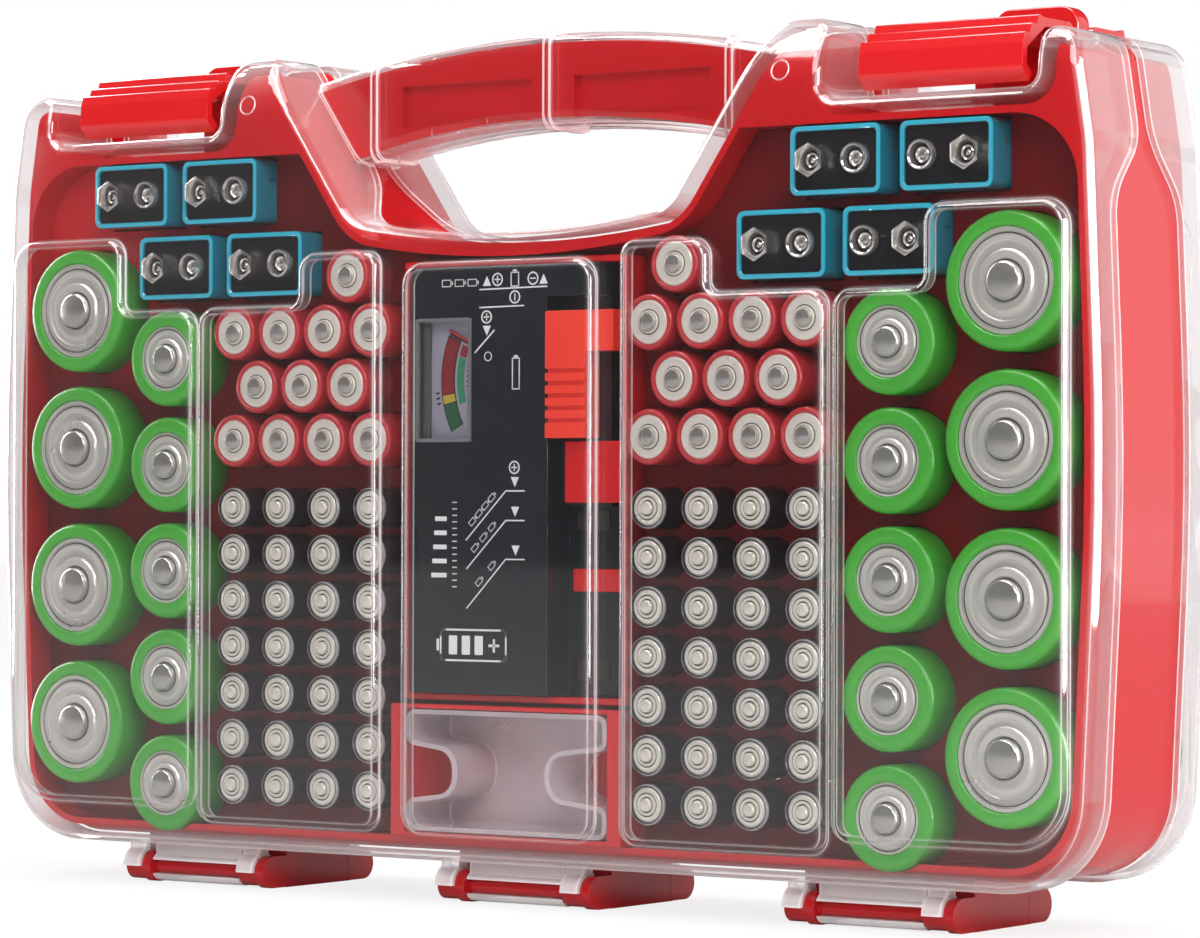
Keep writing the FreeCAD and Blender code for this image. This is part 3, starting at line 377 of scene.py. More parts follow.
def grid_tree(name):
    """Sets one cell out in rows and columns on both halves of a tray."""
    tree = bpy.data.node_groups.new(name, "GeometryNodeTree")
    sockets = tree.interface
    sockets.new_socket("Cell", in_out="INPUT", socket_type="NodeSocketGeometry")
    for socket, kind in (
        ("Columns", "Int"), ("Rows", "Int"), ("Width", "Float"), ("Height", "Float"),
        ("Centre", "Vector"), ("Surface", "Material"),
    ):
        sockets.new_socket(socket, in_out="INPUT", socket_type=f"NodeSocket{kind}")
    sockets.new_socket("Cells", in_out="OUTPUT", socket_type="NodeSocketGeometry")
    add = tree.nodes.new
    link = tree.links.new
    given = add("NodeGroupInput").outputs
    grid = add("GeometryNodeMeshGrid")
    upright = add("GeometryNodeTransform")
    upright.inputs["Rotation"].default_value = (math.pi / 2, 0, 0)
    other = add("GeometryNodeTransform")
    other.inputs["Scale"].default_value = (-1, 1, 1)
    both = add("GeometryNodeJoinGeometry")
    seats = add("GeometryNodeInstanceOnPoints")
    solid = add("GeometryNodeRealizeInstances")
    paint = add("GeometryNodeSetMaterial")
    done = add("NodeGroupOutput")
    link(given["Columns"], grid.inputs["Vertices X"])
    link(given["Rows"], grid.inputs["Vertices Y"])
    link(given["Width"], grid.inputs["Size X"])
    link(given["Height"], grid.inputs["Size Y"])
    link(grid.outputs["Mesh"], upright.inputs["Geometry"])
    link(given["Centre"], upright.inputs["Translation"])
    link(upright.outputs[0], other.inputs["Geometry"])
    link(upright.outputs[0], both.inputs[0])
    link(other.outputs[0], both.inputs[0])
    link(both.outputs[0], seats.inputs["Points"])
    link(given["Cell"], seats.inputs["Instance"])
    link(seats.outputs[0], solid.inputs[0])
    link(solid.outputs[0], paint.inputs["Geometry"])
    link(given["Surface"], paint.inputs["Material"])
    link(paint.outputs[0], done.inputs[0])
    return tree


cell_grid = grid_tree("cell_grid")
FACE = -28.0


def set_out(name, mesh, blocks, surface):
    """One piece from blocks of cells, each (columns, rows, first x, first z, pitches)."""
    joined = bmesh.new()
    for columns, rows, first_x, first_z, pitch_x, pitch_z in blocks:
        width = (columns - 1) * pitch_x
        height = (rows - 1) * pitch_z
        centre = ((first_x + width / 2) * MM, FACE * MM, (first_z + height / 2) * MM)
        seed = new_object("seed", mesh)
        rows_of_cells = seed.modifiers.new("rows", "NODES")
        rows_of_cells.node_group = cell_grid
        inputs = {
            "Columns": columns, "Rows": rows, "Width": width * MM, "Height": height * MM,
            "Centre": centre, "Surface": surface.owner,
        }
        for item in cell_grid.interface.items_tree:
            if item.in_out == "INPUT" and item.name in inputs:
                rows_of_cells[item.identifier] = inputs[item.name]
        seen = seed.evaluated_get(bpy.context.evaluated_depsgraph_get())
        block = bpy.data.meshes.new_from_object(seen)
        joined.from_mesh(block)
        bpy.data.objects.remove(seed)
    whole = bpy.data.meshes.new(name)
    joined.to_mesh(whole)
    joined.free()
    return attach(new_object(name, whole, surface), "case")


def dimmed(colour, share):
    return tuple(part * share for part in colour)


def steel(name, colour, rough=0.30, shine=0.35):
    """Nickel-plated steel, faintly spun and fingerprinted."""
    metal = material(name)
    smudge = metal.noise(scale=60.0, detail=4.0)
    spun = metal.noise(scale=700.0, stretch=(1, 0.05, 1), seed=5.0)
    metal.surface({
        "Base Color": metal.blend(smudge, dimmed(colour, 0.84), colour),
        "Metallic": shine,
        "Roughness": smudge * 0.16 + (rough - 0.08),
        "Normal": metal.bump(spun, FINE_GRAIN),
    })
    return metal


PAINTED_SHADE_FROM = 0.0272  # painted shade darkens a sleeve inward from here, in metres from the case's middle plane
PAINTED_SHADE_FADE = 130.0
HIGHLIGHT_RIM_FROM = 0.0252  # a paler rim, a painted highlight, starts here
HIGHLIGHT_RIM_FADE = 5000.0


def sleeve(name, colour, deep, gloss=0.3, coat=0.2, shade=0.6, rim=None):
    """Printed shrink sleeve: streaked solid ink, with painted shade darkening it behind the lip. The
    rim may be paler, as a painted highlight."""
    film = material(name)
    streak = film.noise(scale=50.0, detail=3.0, stretch=(1, 0.15, 1))
    place = film.node("ShaderNodeTexCoord")["Object"]
    depth = abs(film.node("ShaderNodeSeparateXYZ", {}, {"Vector": place})["Y"])
    painted_shade = ((PAINTED_SHADE_FROM - depth) * PAINTED_SHADE_FADE).clamped() * shade
    ink = film.blend(streak, deep, colour)
    # the paler rim is a painted highlight
    if rim:
        ink = film.blend(((depth - HIGHLIGHT_RIM_FROM) * HIGHLIGHT_RIM_FADE).clamped(), ink, rim)
    film.surface({
        "Base Color": film.blend(painted_shade, ink, dimmed(deep, 0.3)),
        "Roughness": film.noise(scale=300.0, seed=2.0) * 0.12 + (gloss - 0.06),
        "Coat Weight": coat,
        "Coat Roughness": 0.08,
    })
    return film


can_steel = steel("can_steel", (0.92, 0.90, 0.85), shine=0.66)
button_steel = steel("button_steel", (0.70, 0.69, 0.65), rough=0.24, shine=0.8)
# a grey ring at the dark sleeves' lip: a painted highlight
painted_rim_highlight = moulded("painted_rim_highlight", (0.42, 0.42, 0.43), (0.34, 0.34, 0.35), gloss=0.2)
# painted shade for the cans' grooves
painted_groove_shade = moulded("painted_groove_shade", (0.050, 0.047, 0.042), (0.035, 0.033, 0.030), gloss=0.5, coat=0.0)
small_steel = steel("small_steel", (0.92, 0.89, 0.80))
cell_green = sleeve("cell_green", (0.075, 0.46, 0.045), (0.05, 0.38, 0.03))
cell_red = sleeve("cell_red", (0.58, 0.035, 0.045), (0.46, 0.02, 0.03))
cell_dark = sleeve("cell_dark", (0.014, 0.014, 0.016), (0.009, 0.009, 0.010), coat=0.8)

# profiles of sleeve and can: radius, depth behind the face, in millimetres
D_SLEEVE = [
    (13.2, 1.2), (13.3, 0.35), (13.7, 0.0), (16.0, 0.15), (16.8, 0.7), (17.1, 1.6), (17.1, 59.5),
]
D_CAN = [
    (0, -1.5), (3.9, -1.5), (4.5, -1.25), (4.75, -0.7), (4.8, 0.5), (5.3, 0.6), (5.5, 0.1),
    (7.2, 0.0), (7.5, 0.7), (7.9, 0.9), (9.6, 0.75), (9.9, 0.2), (11.0, 0.1), (11.3, 0.8),
    (11.9, 0.9), (12.1, 0.4), (12.9, 0.4), (13.3, 0.9),
]
C_SLEEVE = [(8.9, 1.0), (9.0, 0.3), (9.4, 0.0), (12.0, 0.12), (12.8, 0.6), (13.1, 1.4), (13.1, 48.5)]
C_CAN = [
    (0, -1.5), (3.0, -1.5), (3.5, -1.25), (3.7, -0.7), (3.75, 0.4), (4.1, 0.5), (4.3, 0.1),
    (5.1, 0.0), (5.4, 0.6), (5.7, 0.75), (6.7, 0.6), (6.95, 0.15), (7.6, 0.1), (7.9, 0.65),
    (8.2, 0.7), (8.4, 0.35), (8.8, 0.4), (9.0, 0.8),
]
AA_SLEEVE = [(5.7, 1.0), (5.8, 0.3), (6.05, 0.0), (6.7, 0.1), (7.05, 0.5), (7.2, 1.2), (7.2, 49.5)]
AA_CAN = [
    (0, -1.0), (1.9, -1.0), (2.15, -0.85), (2.2, -0.1), (2.4, 0.1), (2.65, -0.15), (2.9, -0.1),
    (3.05, 0.45), (3.4, 0.5), (4.9, 0.15), (5.5, 0.3), (5.8, 0.9),
]
AAA_SLEEVE = [(4.5, 0.8), (4.55, 0.25), (4.75, 0.0), (5.05, 0.15), (5.25, 0.7), (5.25, 43.7)]
AAA_CAN = [
    (0, -0.8), (1.35, -0.8), (1.6, -0.65), (1.7, -0.2), (1.75, 0.5), (2.05, 0.5), (2.1, 0.0),
    (2.3, -0.15), (2.75, -0.1), (2.85, 0.4), (3.1, 0.4), (3.2, 0.0), (3.9, 0.05), (4.2, 0.3),
    (4.55, 0.7),
]
D_BLOCKS = [(1, 4, 148.9, 43.7, 0, 38.3)]
C_BLOCKS = [(1, 5, 115.9, 27.9, 0, 29.17)]
AA_BLOCKS = [
    (4, 2, 44.9, 121.8, 15.6, 29.2), (3, 1, 52.7, 136.4, 15.6, 0), (1, 1, 52.7, 165.6, 15.6, 0),
]
AAA_BLOCKS = [(4, 7, 44.9, 28.4, 15.6, 12.55)]
CELLS = {
    # sleeve, can, its points that form the button, blocks, ink, steel of the button, steel of the
    # rest, slot of the sleeve
    "d": (D_SLEEVE, D_CAN, 5, D_BLOCKS, cell_green, button_steel, can_steel, "green_cell"),
    "c": (C_SLEEVE, C_CAN, 5, C_BLOCKS, cell_green, button_steel, can_steel, "green_cell"),
    "aa": (AA_SLEEVE, AA_CAN, 4, AA_BLOCKS, cell_red, button_steel, small_steel, "red_cell"),
    "aaa": (AAA_SLEEVE, AAA_CAN, 5, AAA_BLOCKS, cell_dark, small_steel, small_steel, "dark_cell"),
}
GROOVES_IN_CANS = {
    # dark rings in the pressed grooves, as painted shade; the profile dips behind the steel between
    # them
    "d": [
        (4.85, 1.2), (4.85, 0.5), (5.2, 0.5), (5.2, 1.2),
        (11.45, 1.2), (11.45, 0.78), (11.75, 0.78), (11.75, 1.2),
    ],
    "c": [
        (3.8, 1.2), (3.8, 0.4), (4.05, 0.4), (4.05, 1.2),
        (7.95, 1.2), (7.95, 0.6), (8.15, 0.6), (8.15, 1.2),
    ],
    "aa": [
        (2.22, 0.9), (2.22, 0.02), (2.46, 0.02), (2.46, 0.9),
        (3.06, 0.9), (3.06, 0.43), (3.3, 0.43), (3.3, 0.9),
    ],
    "aaa": [
        (1.74, 0.9), (1.74, 0.44), (2.04, 0.44), (2.04, 0.9),
        (2.84, 0.9), (2.84, 0.34), (3.08, 0.34), (3.08, 0.9),
    ],
}
# profile of that ring of painted highlight at the lip of the AAA sleeves
PAINTED_RIM_HIGHLIGHT_RING = [(4.94, 0.35), (4.94, 0.03), (5.08, 0.08), (5.3, 0.62), (5.3, 0.95), (5.2, 0.95)]
FOOT = [
    # steel at the back end: share of the sleeve's radius, depth inside its back edge
    (0.88, 0.5), (0.74, 0.4), (0.68, 0.05), (0, 0.05),
]
BACK_STEP = 0.3
BACK_SINK = 1.0


def place_cells():
    for kind, (sleeve_profile, can, split, blocks, ink, cap, metal, slot) in CELLS.items():
        wide, back = sleeve_profile[-1]
        foot = [(wide * share, back - inset) for share, inset in FOOT]
        inside = foot[0][0]
        closed = sleeve_profile + [(wide - BACK_STEP, back), (inside, back)]
        closed += [(inside, back - BACK_SINK), (0, back - BACK_SINK)]
        sleeves = set_out(f"{kind}_sleeves", turned(f"{kind}_sleeve", closed), blocks, ink)
        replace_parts(sleeves, f"{kind}_cells")
        for part, profile, surface in (("buttons", can[:split], cap), ("ends", can[split - 1:], metal)):
            name = f"{kind}_{part}"
            set_out(name, turned(name, profile), blocks, surface)
        set_out(f"{kind}_feet", turned(f"{kind}_foot", foot), blocks, metal)
        # dark rings of painted shade in the grooves
        groove = turned(f"{kind}_groove", GROOVES_IN_CANS[kind])
        set_out(f"{kind}_grooves", groove, blocks, painted_groove_shade)
    # the grey rings of painted highlight on the AAA sleeves
    set_out("aaa_film_edges", turned("aaa_film_edge", PAINTED_RIM_HIGHLIGHT_RING), AAA_BLOCKS, painted_rim_highlight)


place_cells()

# ---------------------------------------------------------------- nine volt block cells
# Teal printed jackets folded over a black end plate, with a six-sided socket and a round stud
# riveted through it in plated steel. The blocks stand in square windows of the trays.
CORNER_STEPS = 5
PIECE_SHARP = math.radians(38)


def rounded(corners):
    """An outline from corners (x, z, radius)."""
    outline = []
    for index, (x, z, radius) in enumerate(corners):
        if not radius:
            outline.append((x, z))
            continue
        corner = Vector((x, z))
        to_last = (Vector(corners[index - 1][:2]) - corner).normalized()
        to_next = (Vector(corners[(index + 1) % len(corners)][:2]) - corner).normalized()
        half = to_last.angle(to_next) / 2
        centre = corner + (to_last + to_next).normalized() * (radius / math.sin(half))
        start = corner + to_last * (radius / math.tan(half)) - centre
        end = corner + to_next * (radius / math.tan(half)) - centre
        first = math.atan2(start.y, start.x)
        turn = (math.atan2(end.y, end.x) - first + math.pi) % (2 * math.pi) - math.pi
        for step in range(CORNER_STEPS + 1):
            angle = first + turn * step / CORNER_STEPS
            outline.append((centre.x + radius * math.cos(angle), centre.y + radius * math.sin(angle)))
    return outline


def oblong(x, z, half_width, half_height, radius):
    """A rectangle with round corners."""
    return rounded([
        (x + a * half_width, z + b * half_height, radius)
        for a, b in ((-1, -1), (1, -1), (1, 1), (-1, 1))
    ])


def stack(shape, loops):
    """Joins outlines of equal length, each (outline, depth), and closes both ends."""
    rings = [
        [shape.verts.new((x * MM, depth * MM, z * MM)) for x, z in outline]
        for outline, depth in loops
    ]
    for ring, following in zip(rings, rings[1:]):
        for index in range(len(ring)):
            last = index - 1
            shape.faces.new((ring[last], ring[index], following[index], following[last]))
    shape.faces.new(rings[0])
    shape.faces.new(rings[-1][::-1])


def plate(shape, outline, front, back):
    stack(shape, [(outline, front), (outline, back)])


def hoop(shape, sections):
    """Joins like sections of points, in metres, into a closed ring."""
    rings = [[shape.verts.new(point) for point in section] for section in sections]
    for index, ring in enumerate(rings):
        last = rings[index - 1]
        for step in range(len(ring)):
            shape.faces.new((last[step - 1], last[step], ring[step], ring[step - 1]))


def piece(name, shape, surface, body="case", bevel=0.0):
    """Closes a drawn solid into one piece that rides on a body."""
    bmesh.ops.recalc_face_normals(shape, faces=shape.faces)
    if bevel:
        sharp = [edge for edge in shape.edges if edge.calc_face_angle(0) > SHARP_EDGE]
        bmesh.ops.bevel(
            shape, geom=sharp, offset=bevel * MM, segments=2, affect="EDGES", profile=0.5,
            clamp_overlap=True,
        )
    mesh = bpy.data.meshes.new(name)
    shape.to_mesh(mesh)
    shape.free()
    mesh.shade_smooth()
    mesh.set_sharp_from_angle(angle=PIECE_SHARP)
    thing = new_object(name, mesh, surface)
    even = thing.modifiers.new("even", "WEIGHTED_NORMAL")
    even.keep_sharp = True
    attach(thing, body)
    return thing


BLOCKS = [
    # x, z, side of the six-sided socket
    (130.9, 190.1, 1), (99.1, 190.1, -1), (114.5, 169.7, 1), (83.2, 169.7, -1),
    (-130.9, 190.1, -1), (-99.1, 190.1, -1), (-114.5, 169.7, -1), (-83.2, 169.7, -1),
]
JACKET = [
    # half width, half height, corner, depth
    (13.25, 8.75, 2.2, 21.0), (13.25, 8.75, 2.2, -24.9), (13.05, 8.55, 2.0, -25.35),
    (12.75, 8.25, 1.8, -25.5), (12.1, 7.6, 1.3, -25.5), (11.85, 7.35, 1.1, -25.25),
    (11.8, 7.3, 1.1, -24.6),
]
STUD = [
    # radius, depth
    (3.3, -24.7), (3.3, -25.1), (3.8, -25.5), (3.85, -26.9), (3.7, -27.3), (3.35, -27.4),
    (3.05, -27.2), (2.95, -26.4), (2.9, -25.3), (2.0, -25.3), (1.9, -25.9), (1.6, -26.1),
    (1.4, -25.9), (1.3, -25.4), (0.9, -25.4), (0.75, -25.8), (0.4, -25.9),
]
SOCKET = [
    (3.4, -24.7), (3.5, -25.2), (3.9, -26.4), (4.4, -27.5), (4.35, -27.9), (4.1, -28.0),
    (3.9, -27.7), (3.7, -26.9), (3.55, -26.8), (3.3, -27.2), (2.9, -27.3), (2.75, -27.0),
    (2.6, -25.3), (1.9, -25.3), (1.8, -25.9), (1.5, -26.1), (1.3, -25.8), (1.2, -25.3),
    (0.8, -25.3), (0.3, -25.7),
]
GROOVES = [
    # inner and outer radius of the dark rings of painted shade in the gaps, for stud and socket
    ((2.02, 2.88), (1.0, 1.28)), ((1.92, 2.58), (0.82, 1.18)),
]
TERMINAL_OFFSET = 6.35
TERMINAL_STEPS = 36
HEXAGON_FROM = 3.3
GROOVE_DEPTH = -25.38
GROOVE_STEPS = 24
GROOVE_THICK = 0.06
MARK_SIDE = 13.27
MARK_THICK = 0.06
MARK_DEPTH = -19
MARK_RISE = 3
plated = steel("plated", (0.98, 0.96, 0.92), rough=0.15, shine=0.85)


def six_sided(step, count):
    """Share of the full radius at a step round a hexagon that stands on a corner."""
    angle = math.degrees(2 * math.pi * step / count) % 60 - 30
    return math.cos(math.radians(30)) / math.cos(math.radians(angle))


def terminal(shape, profile, x, z, hexagon):
    """A turned terminal, or one whose outer wall is a hexagon."""
    loops = []
    for radius, depth in profile:
        outline = []
        for step in range(TERMINAL_STEPS):
            share = 1.0
            if hexagon and radius > HEXAGON_FROM:
                share = six_sided(step + TERMINAL_STEPS / 12, TERMINAL_STEPS)
            angle = 2 * math.pi * step / TERMINAL_STEPS
            reach = radius * share
            outline.append((x + reach * math.cos(angle), z + reach * math.sin(angle)))
        loops.append((outline, depth))
    stack(shape, loops)


def groove_ring(shape, x, z, inner, outer):
    """A thin flat dark ring that paints shade into the gap inside a terminal."""
    front, back = GROOVE_DEPTH, GROOVE_DEPTH + GROOVE_THICK
    corners = ((inner, front), (outer, front), (outer, back), (inner, back))
    sections = []
    for step in range(GROOVE_STEPS):
        angle = 2 * math.pi * step / GROOVE_STEPS
        across, up = math.cos(angle), math.sin(angle)
        sections.append([
            ((x + radius * across) * MM, y * MM, (z + radius * up) * MM) for radius, y in corners
        ])
    hoop(shape, sections)


def side_mark(shape, x, z):
    """A small printed cross on a jacket's right side."""
    for half_up, half_along in ((1.5, 0.105), (0.105, 1.5)):
        corners = [
            (MARK_DEPTH + a * half_along, z + MARK_RISE + b * half_up)
            for a, b in ((-1, -1), (1, -1), (1, 1), (-1, 1))
        ]
        out, back = (
            [shape.verts.new((side * MM, y * MM, height * MM)) for y, height in corners]
            for side in (x + MARK_SIDE, x + MARK_SIDE - MARK_THICK)
        )
        shape.faces.new(out)
        shape.faces.new(back[::-1])
        for index in range(4):
            shape.faces.new((out[index - 1], out[index], back[index], back[index - 1]))


def block_cells():
    # the jackets' paler front rim is a painted highlight, and shade=0.2 sets their painted shade
    teal = sleeve(
        "cell_teal", (0.018, 0.34, 0.47), (0.012, 0.28, 0.40), gloss=0.14, coat=0.9, shade=0.2,
        rim=(0.05, 0.52, 0.70),
    )
    ends = moulded("cell_black", (0.012, 0.011, 0.014), (0.008, 0.008, 0.010), gloss=0.34, coat=0.1)
    jackets, plates, terminals, marks, grooves = (bmesh.new() for _ in range(5))
    for x, z, side in BLOCKS:
        stack(jackets, [
            (oblong(x, z, wide, high, corner), depth) for wide, high, corner, depth in JACKET
        ])
        plate(plates, oblong(x, z, 11.78, 7.28, 1.1), -24.75, -24.0)
        stud, socket = x - side * TERMINAL_OFFSET, x + side * TERMINAL_OFFSET
        terminal(terminals, SOCKET, socket, z, True)
        terminal(terminals, STUD, stud, z, False)
        for across, rings in zip((stud, socket), GROOVES):
            for inner, outer in rings:
                groove_ring(grooves, across, z, inner, outer)
        side_mark(marks, x, z)
    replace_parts(piece("block_jackets", jackets, teal), "nine_volt_cells")
    piece("block_ends", plates, ends)
    piece("block_terminals", terminals, plated)
    piece("block_marks", marks, ends)
    # the terminals' dark rings are painted shade
    piece("block_grooves", grooves, ends)


block_cells()

# ---------------------------------------------------------------- tester
# A black moulded tester with a satin face pressed into its bay. Its signs are printed in white:
# circled poles, arrows, guide lines and small cell signs. The slide is bright orange-red.
PRINT_FACE = -27.0
INK = 0.04


def printed(shape, outline, face=PRINT_FACE):
    """A thin layer of ink on a face."""
    plate(shape, outline, face - INK, face + INK)


def bar(shape, start, end, width):
    """A printed line between two points (x, z)."""
    start, end = Vector(start), Vector(end)
    along = (end - start).normalized() * width / 2
    across = Vector((-along.y, along.x))
    near, far = start - along, end + along
    corners = (near - across, far - across, far + across, near + across)
    printed(shape, [tuple(corner) for corner in corners])


def arc_band(shape, centre, inner, outer, first, last, face=PRINT_FACE, steps=24):
    """A printed band between two radii and two angles in degrees."""
    angles = [math.radians(first + (last - first) * step / steps) for step in range(steps + 1)]
    outline = [(centre[0] + outer * math.cos(a), centre[1] + outer * math.sin(a)) for a in angles]
    outline += [
        (centre[0] + inner * math.cos(a), centre[1] + inner * math.sin(a)) for a in reversed(angles)
    ]
    printed(shape, outline, face)


FULL_TURN = 359.9


def circled(shape, x, z, across, upright):
    """A pole sign: a ring with a bar across, upright or both."""
    arc_band(shape, (x, z), 1.35, 1.75, 0, FULL_TURN)
    if across:
        bar(shape, (x - 0.75, z), (x + 0.75, z), 0.36)
    if upright:
        bar(shape, (x, z - 0.75), (x, z + 0.75), 0.36)


def arrow(shape, x, z, up):
    half = 1.3
    tip = half if up else -half
    printed(shape, [(x - half, z - tip), (x + half, z - tip), (x, z + tip)])


def cell_sign(shape, x, z, length, height, turn, line=0.3):
    """Outline of a cell with its pole, turned about its middle by degrees."""
    across, up = math.cos(math.radians(turn)), math.sin(math.radians(turn))

    def place(a, b):
        return (x + a * across - b * up, z + a * up + b * across)

    half, rise = length / 2, height / 2
    corners = [(-half, -rise), (half, -rise), (half, rise), (-half, rise)]
    for index, corner in enumerate(corners):
        bar(shape, place(*corners[index - 1]), place(*corner), line)
    bar(shape, place(half + 0.5, -rise / 3), place(half + 0.5, rise / 3), line * 1.6)


GUIDE_LINES = [
    # height of the level stroke, foot of the slanting stroke (x, z), cells in its sign row
    (108.1, (-13.1, 95.3), 4), (100.4, (-12.9, 87.8), 3), (90.3, (-12.8, 77.5), 2),
]


def tester_print():
    signs = bmesh.new()
    arrow(signs, 11.6, 163.0, True)
    circled(signs, 8.2, 163.2, True, False)
    circled(signs, -3.2, 163.2, True, True)
    arrow(signs, -6.6, 162.9, True)
    cell_sign(signs, 2.4, 163.1, 3.6, 2.4, 90)
    for index in range(3):
        cell_sign(signs, -11.4 - index * 4.2, 162.6, 2.8, 1.7, 0, 0.22)
    bar(signs, (-8.9, 160.7), (12.6, 161.0), 0.36)
    circled(signs, 2.4, 158.5, False, True)
    bar(signs, (-8.9, 156.0), (5.2, 156.2), 0.36)
    circled(signs, -6.7, 153.5, True, True)
    arrow(signs, -6.6, 149.9, False)
    bar(signs, (-4.3, 149.9), (-10.4, 144.3), 0.42)
    arc_band(signs, (-6.2, 143.2), 1.0, 1.25, 0, FULL_TURN)
    cell_sign(signs, 2.8, 138.6, 8.0, 2.2, 90, 0.32)
    circled(signs, 2.4, 114.2, True, True)
    arrow(signs, 2.6, 110.4, False)
    arrow(signs, 2.7, 102.7, False)
    arrow(signs, 2.9, 92.6, False)
    for height, foot, cells in GUIDE_LINES:
        bar(signs, (5.6, height), (-0.3, height), 0.36)
        bar(signs, (-0.3, height), foot, 0.36)
        for index in range(cells):
            share = 0.25 + 0.65 * index / cells
            x = -0.3 + (foot[0] + 0.3) * share - 1.4
            z = height + (foot[1] - height) * share + 1.4
            cell_sign(signs, x, z, 2.1, 1.3, 45, 0.2)
    for index in range(5):
        height = 86.0 + index * 3.7
        bar(signs, (-23.9 + index * 0.3, height), (-20.1, height), 1.2)
    for index in range(14):
        height = 83.0 + index * 1.7
        bar(signs, (-17.5, height), (-16.3, height), 0.3)
    outline = oblong(-10.75, 67.75, 10.6, 4.0, 1.4)
    for index, point in enumerate(outline):
        bar(signs, outline[index - 1], point, 0.5)
    bar(signs, (-22.3, 66.6), (-22.3, 68.9), 0.8)
    for index in range(3):
        printed(signs, oblong(-17.3 + index * 4.2, 67.75, 1.35, 2.5, 0.3))
    bar(signs, (-5.4, 67.75), (-2.6, 67.75), 0.7)
    bar(signs, (-4.0, 66.35), (-4.0, 69.15), 0.7)
    white = moulded("print_white", (0.86, 0.87, 0.88), (0.74, 0.75, 0.76), gloss=0.5, coat=0.0)
    piece("tester_print", signs, white)


black = moulded("tester_black", (0.013, 0.017, 0.023), (0.009, 0.012, 0.016), gloss=0.27, coat=0.2)
dress("tester_body", black)
soften("tester_body", 0.0012)
tester_print()
slide_red = moulded("slide_red", (0.95, 0.055, 0.030), (0.86, 0.040, 0.020), gloss=0.26, coat=0.2)
dress("tester_slider", slide_red)
soften("tester_slider", 0.0006)
dull_steel = steel("dull_steel", (0.10, 0.09, 0.08), rough=0.4, shine=0.8)
dress("tester_contacts", dull_steel)

# ---------------------------------------------------------------- meter
# A pale lilac dial behind a clear window: an outer band of red, yellow and green, an inner band of
# red and green, a black stop at the top and a grey moulded strip with two catches on the left.
PIVOT = (5.0, 137.3)
DIAL_FACE = -23.5
METER_BANDS = [
    # inner and outer radius, first and last angle, layers of ink below, colour
    (24.6, 29.1, 155.7, 208.0, 0, (0.01, 0.01, 0.012)),
    (24.9, 28.8, 156.5, 187.6, 1, (0.36, 0.012, 0.016)),
    (24.9, 28.8, 188.2, 192.8, 1, (0.72, 0.55, 0.04)),
    (24.9, 28.8, 193.4, 207.6, 1, (0.02, 0.17, 0.06)),
    (21.6, 23.9, 157.0, 164.5, 0, (0.42, 0.02, 0.03)),
    (21.6, 23.9, 165.2, 195.5, 0, (0.03, 0.38, 0.19)),
]
METER_TICKS = [
    # inner and outer radius, first angle, pitch, width, count
    (20.2, 20.9, 166, 3.6, 0.8, 9), (29.8, 31.0, 186, 2.6, 1.0, 3),
]
METER_RIM = [
    # drawn in from the rim's outline, depth
    (0.0, -26.4), (0.0, -27.35), (0.25, -27.5), (0.75, -27.5), (1.0, -27.3), (1.0, -26.4),
]


def flat_ink(name, colour):
    ink = material(name)
    ink.surface({"Base Color": rgb(colour), "Roughness": ink.noise(200.0) * 0.1 + 0.45})
    return ink


def meter():
    dress("tester_dial", flat_ink("dial_lilac", (0.46, 0.46, 0.56)))
    dress("tester_needle", flat_ink("needle_red", (0.60, 0.03, 0.05)))
    for index, (inner, outer, first, last, below, colour) in enumerate(METER_BANDS):
        band = bmesh.new()
        arc_band(band, PIVOT, inner, outer, first, last, DIAL_FACE - below * INK)
        piece(f"dial_band_{index}", band, flat_ink(f"dial_ink_{index}", colour))
    stop = bmesh.new()
    arc_band(stop, PIVOT, 21.8, 28.8, 152.6, 155.4, DIAL_FACE)
    for inner, outer, first, pitch, width, count in METER_TICKS:
        for index in range(count):
            turn = first + index * pitch
            arc_band(stop, PIVOT, inner, outer, turn, turn + width, DIAL_FACE, 2)
    piece("dial_stop", stop, flat_ink("dial_black", (0.012, 0.012, 0.014)))
    strip = bmesh.new()
    plate(strip, oblong(-28.4, 137.2, 1.2, 16.0, 0.3), -24.4, DIAL_FACE)
    for height in (124.0, 150.4):
        plate(strip, oblong(-27.6, height, 0.9, 1.2, 0.3), -25.0, -24.2)
    strip_grey = moulded("meter_grey", (0.16, 0.17, 0.18), (0.11, 0.115, 0.12), gloss=0.3)
    piece("meter_strip", strip, strip_grey, bevel=0.15)
    rim = bmesh.new()
    sections = []
    for drawn_in, depth in METER_RIM:
        outline = oblong(-20.7, 137.2, 9.2 - drawn_in, 16.3 - drawn_in, 1.2 - drawn_in)
        sections.append([(x * MM, depth * MM, z * MM) for x, z in outline])
    hoop(rim, sections)
    rim_grey = moulded("rim_grey", (0.20, 0.21, 0.22), (0.14, 0.15, 0.155), gloss=0.12, coat=0.5)
    piece("meter_rim", rim, rim_grey)


meter()

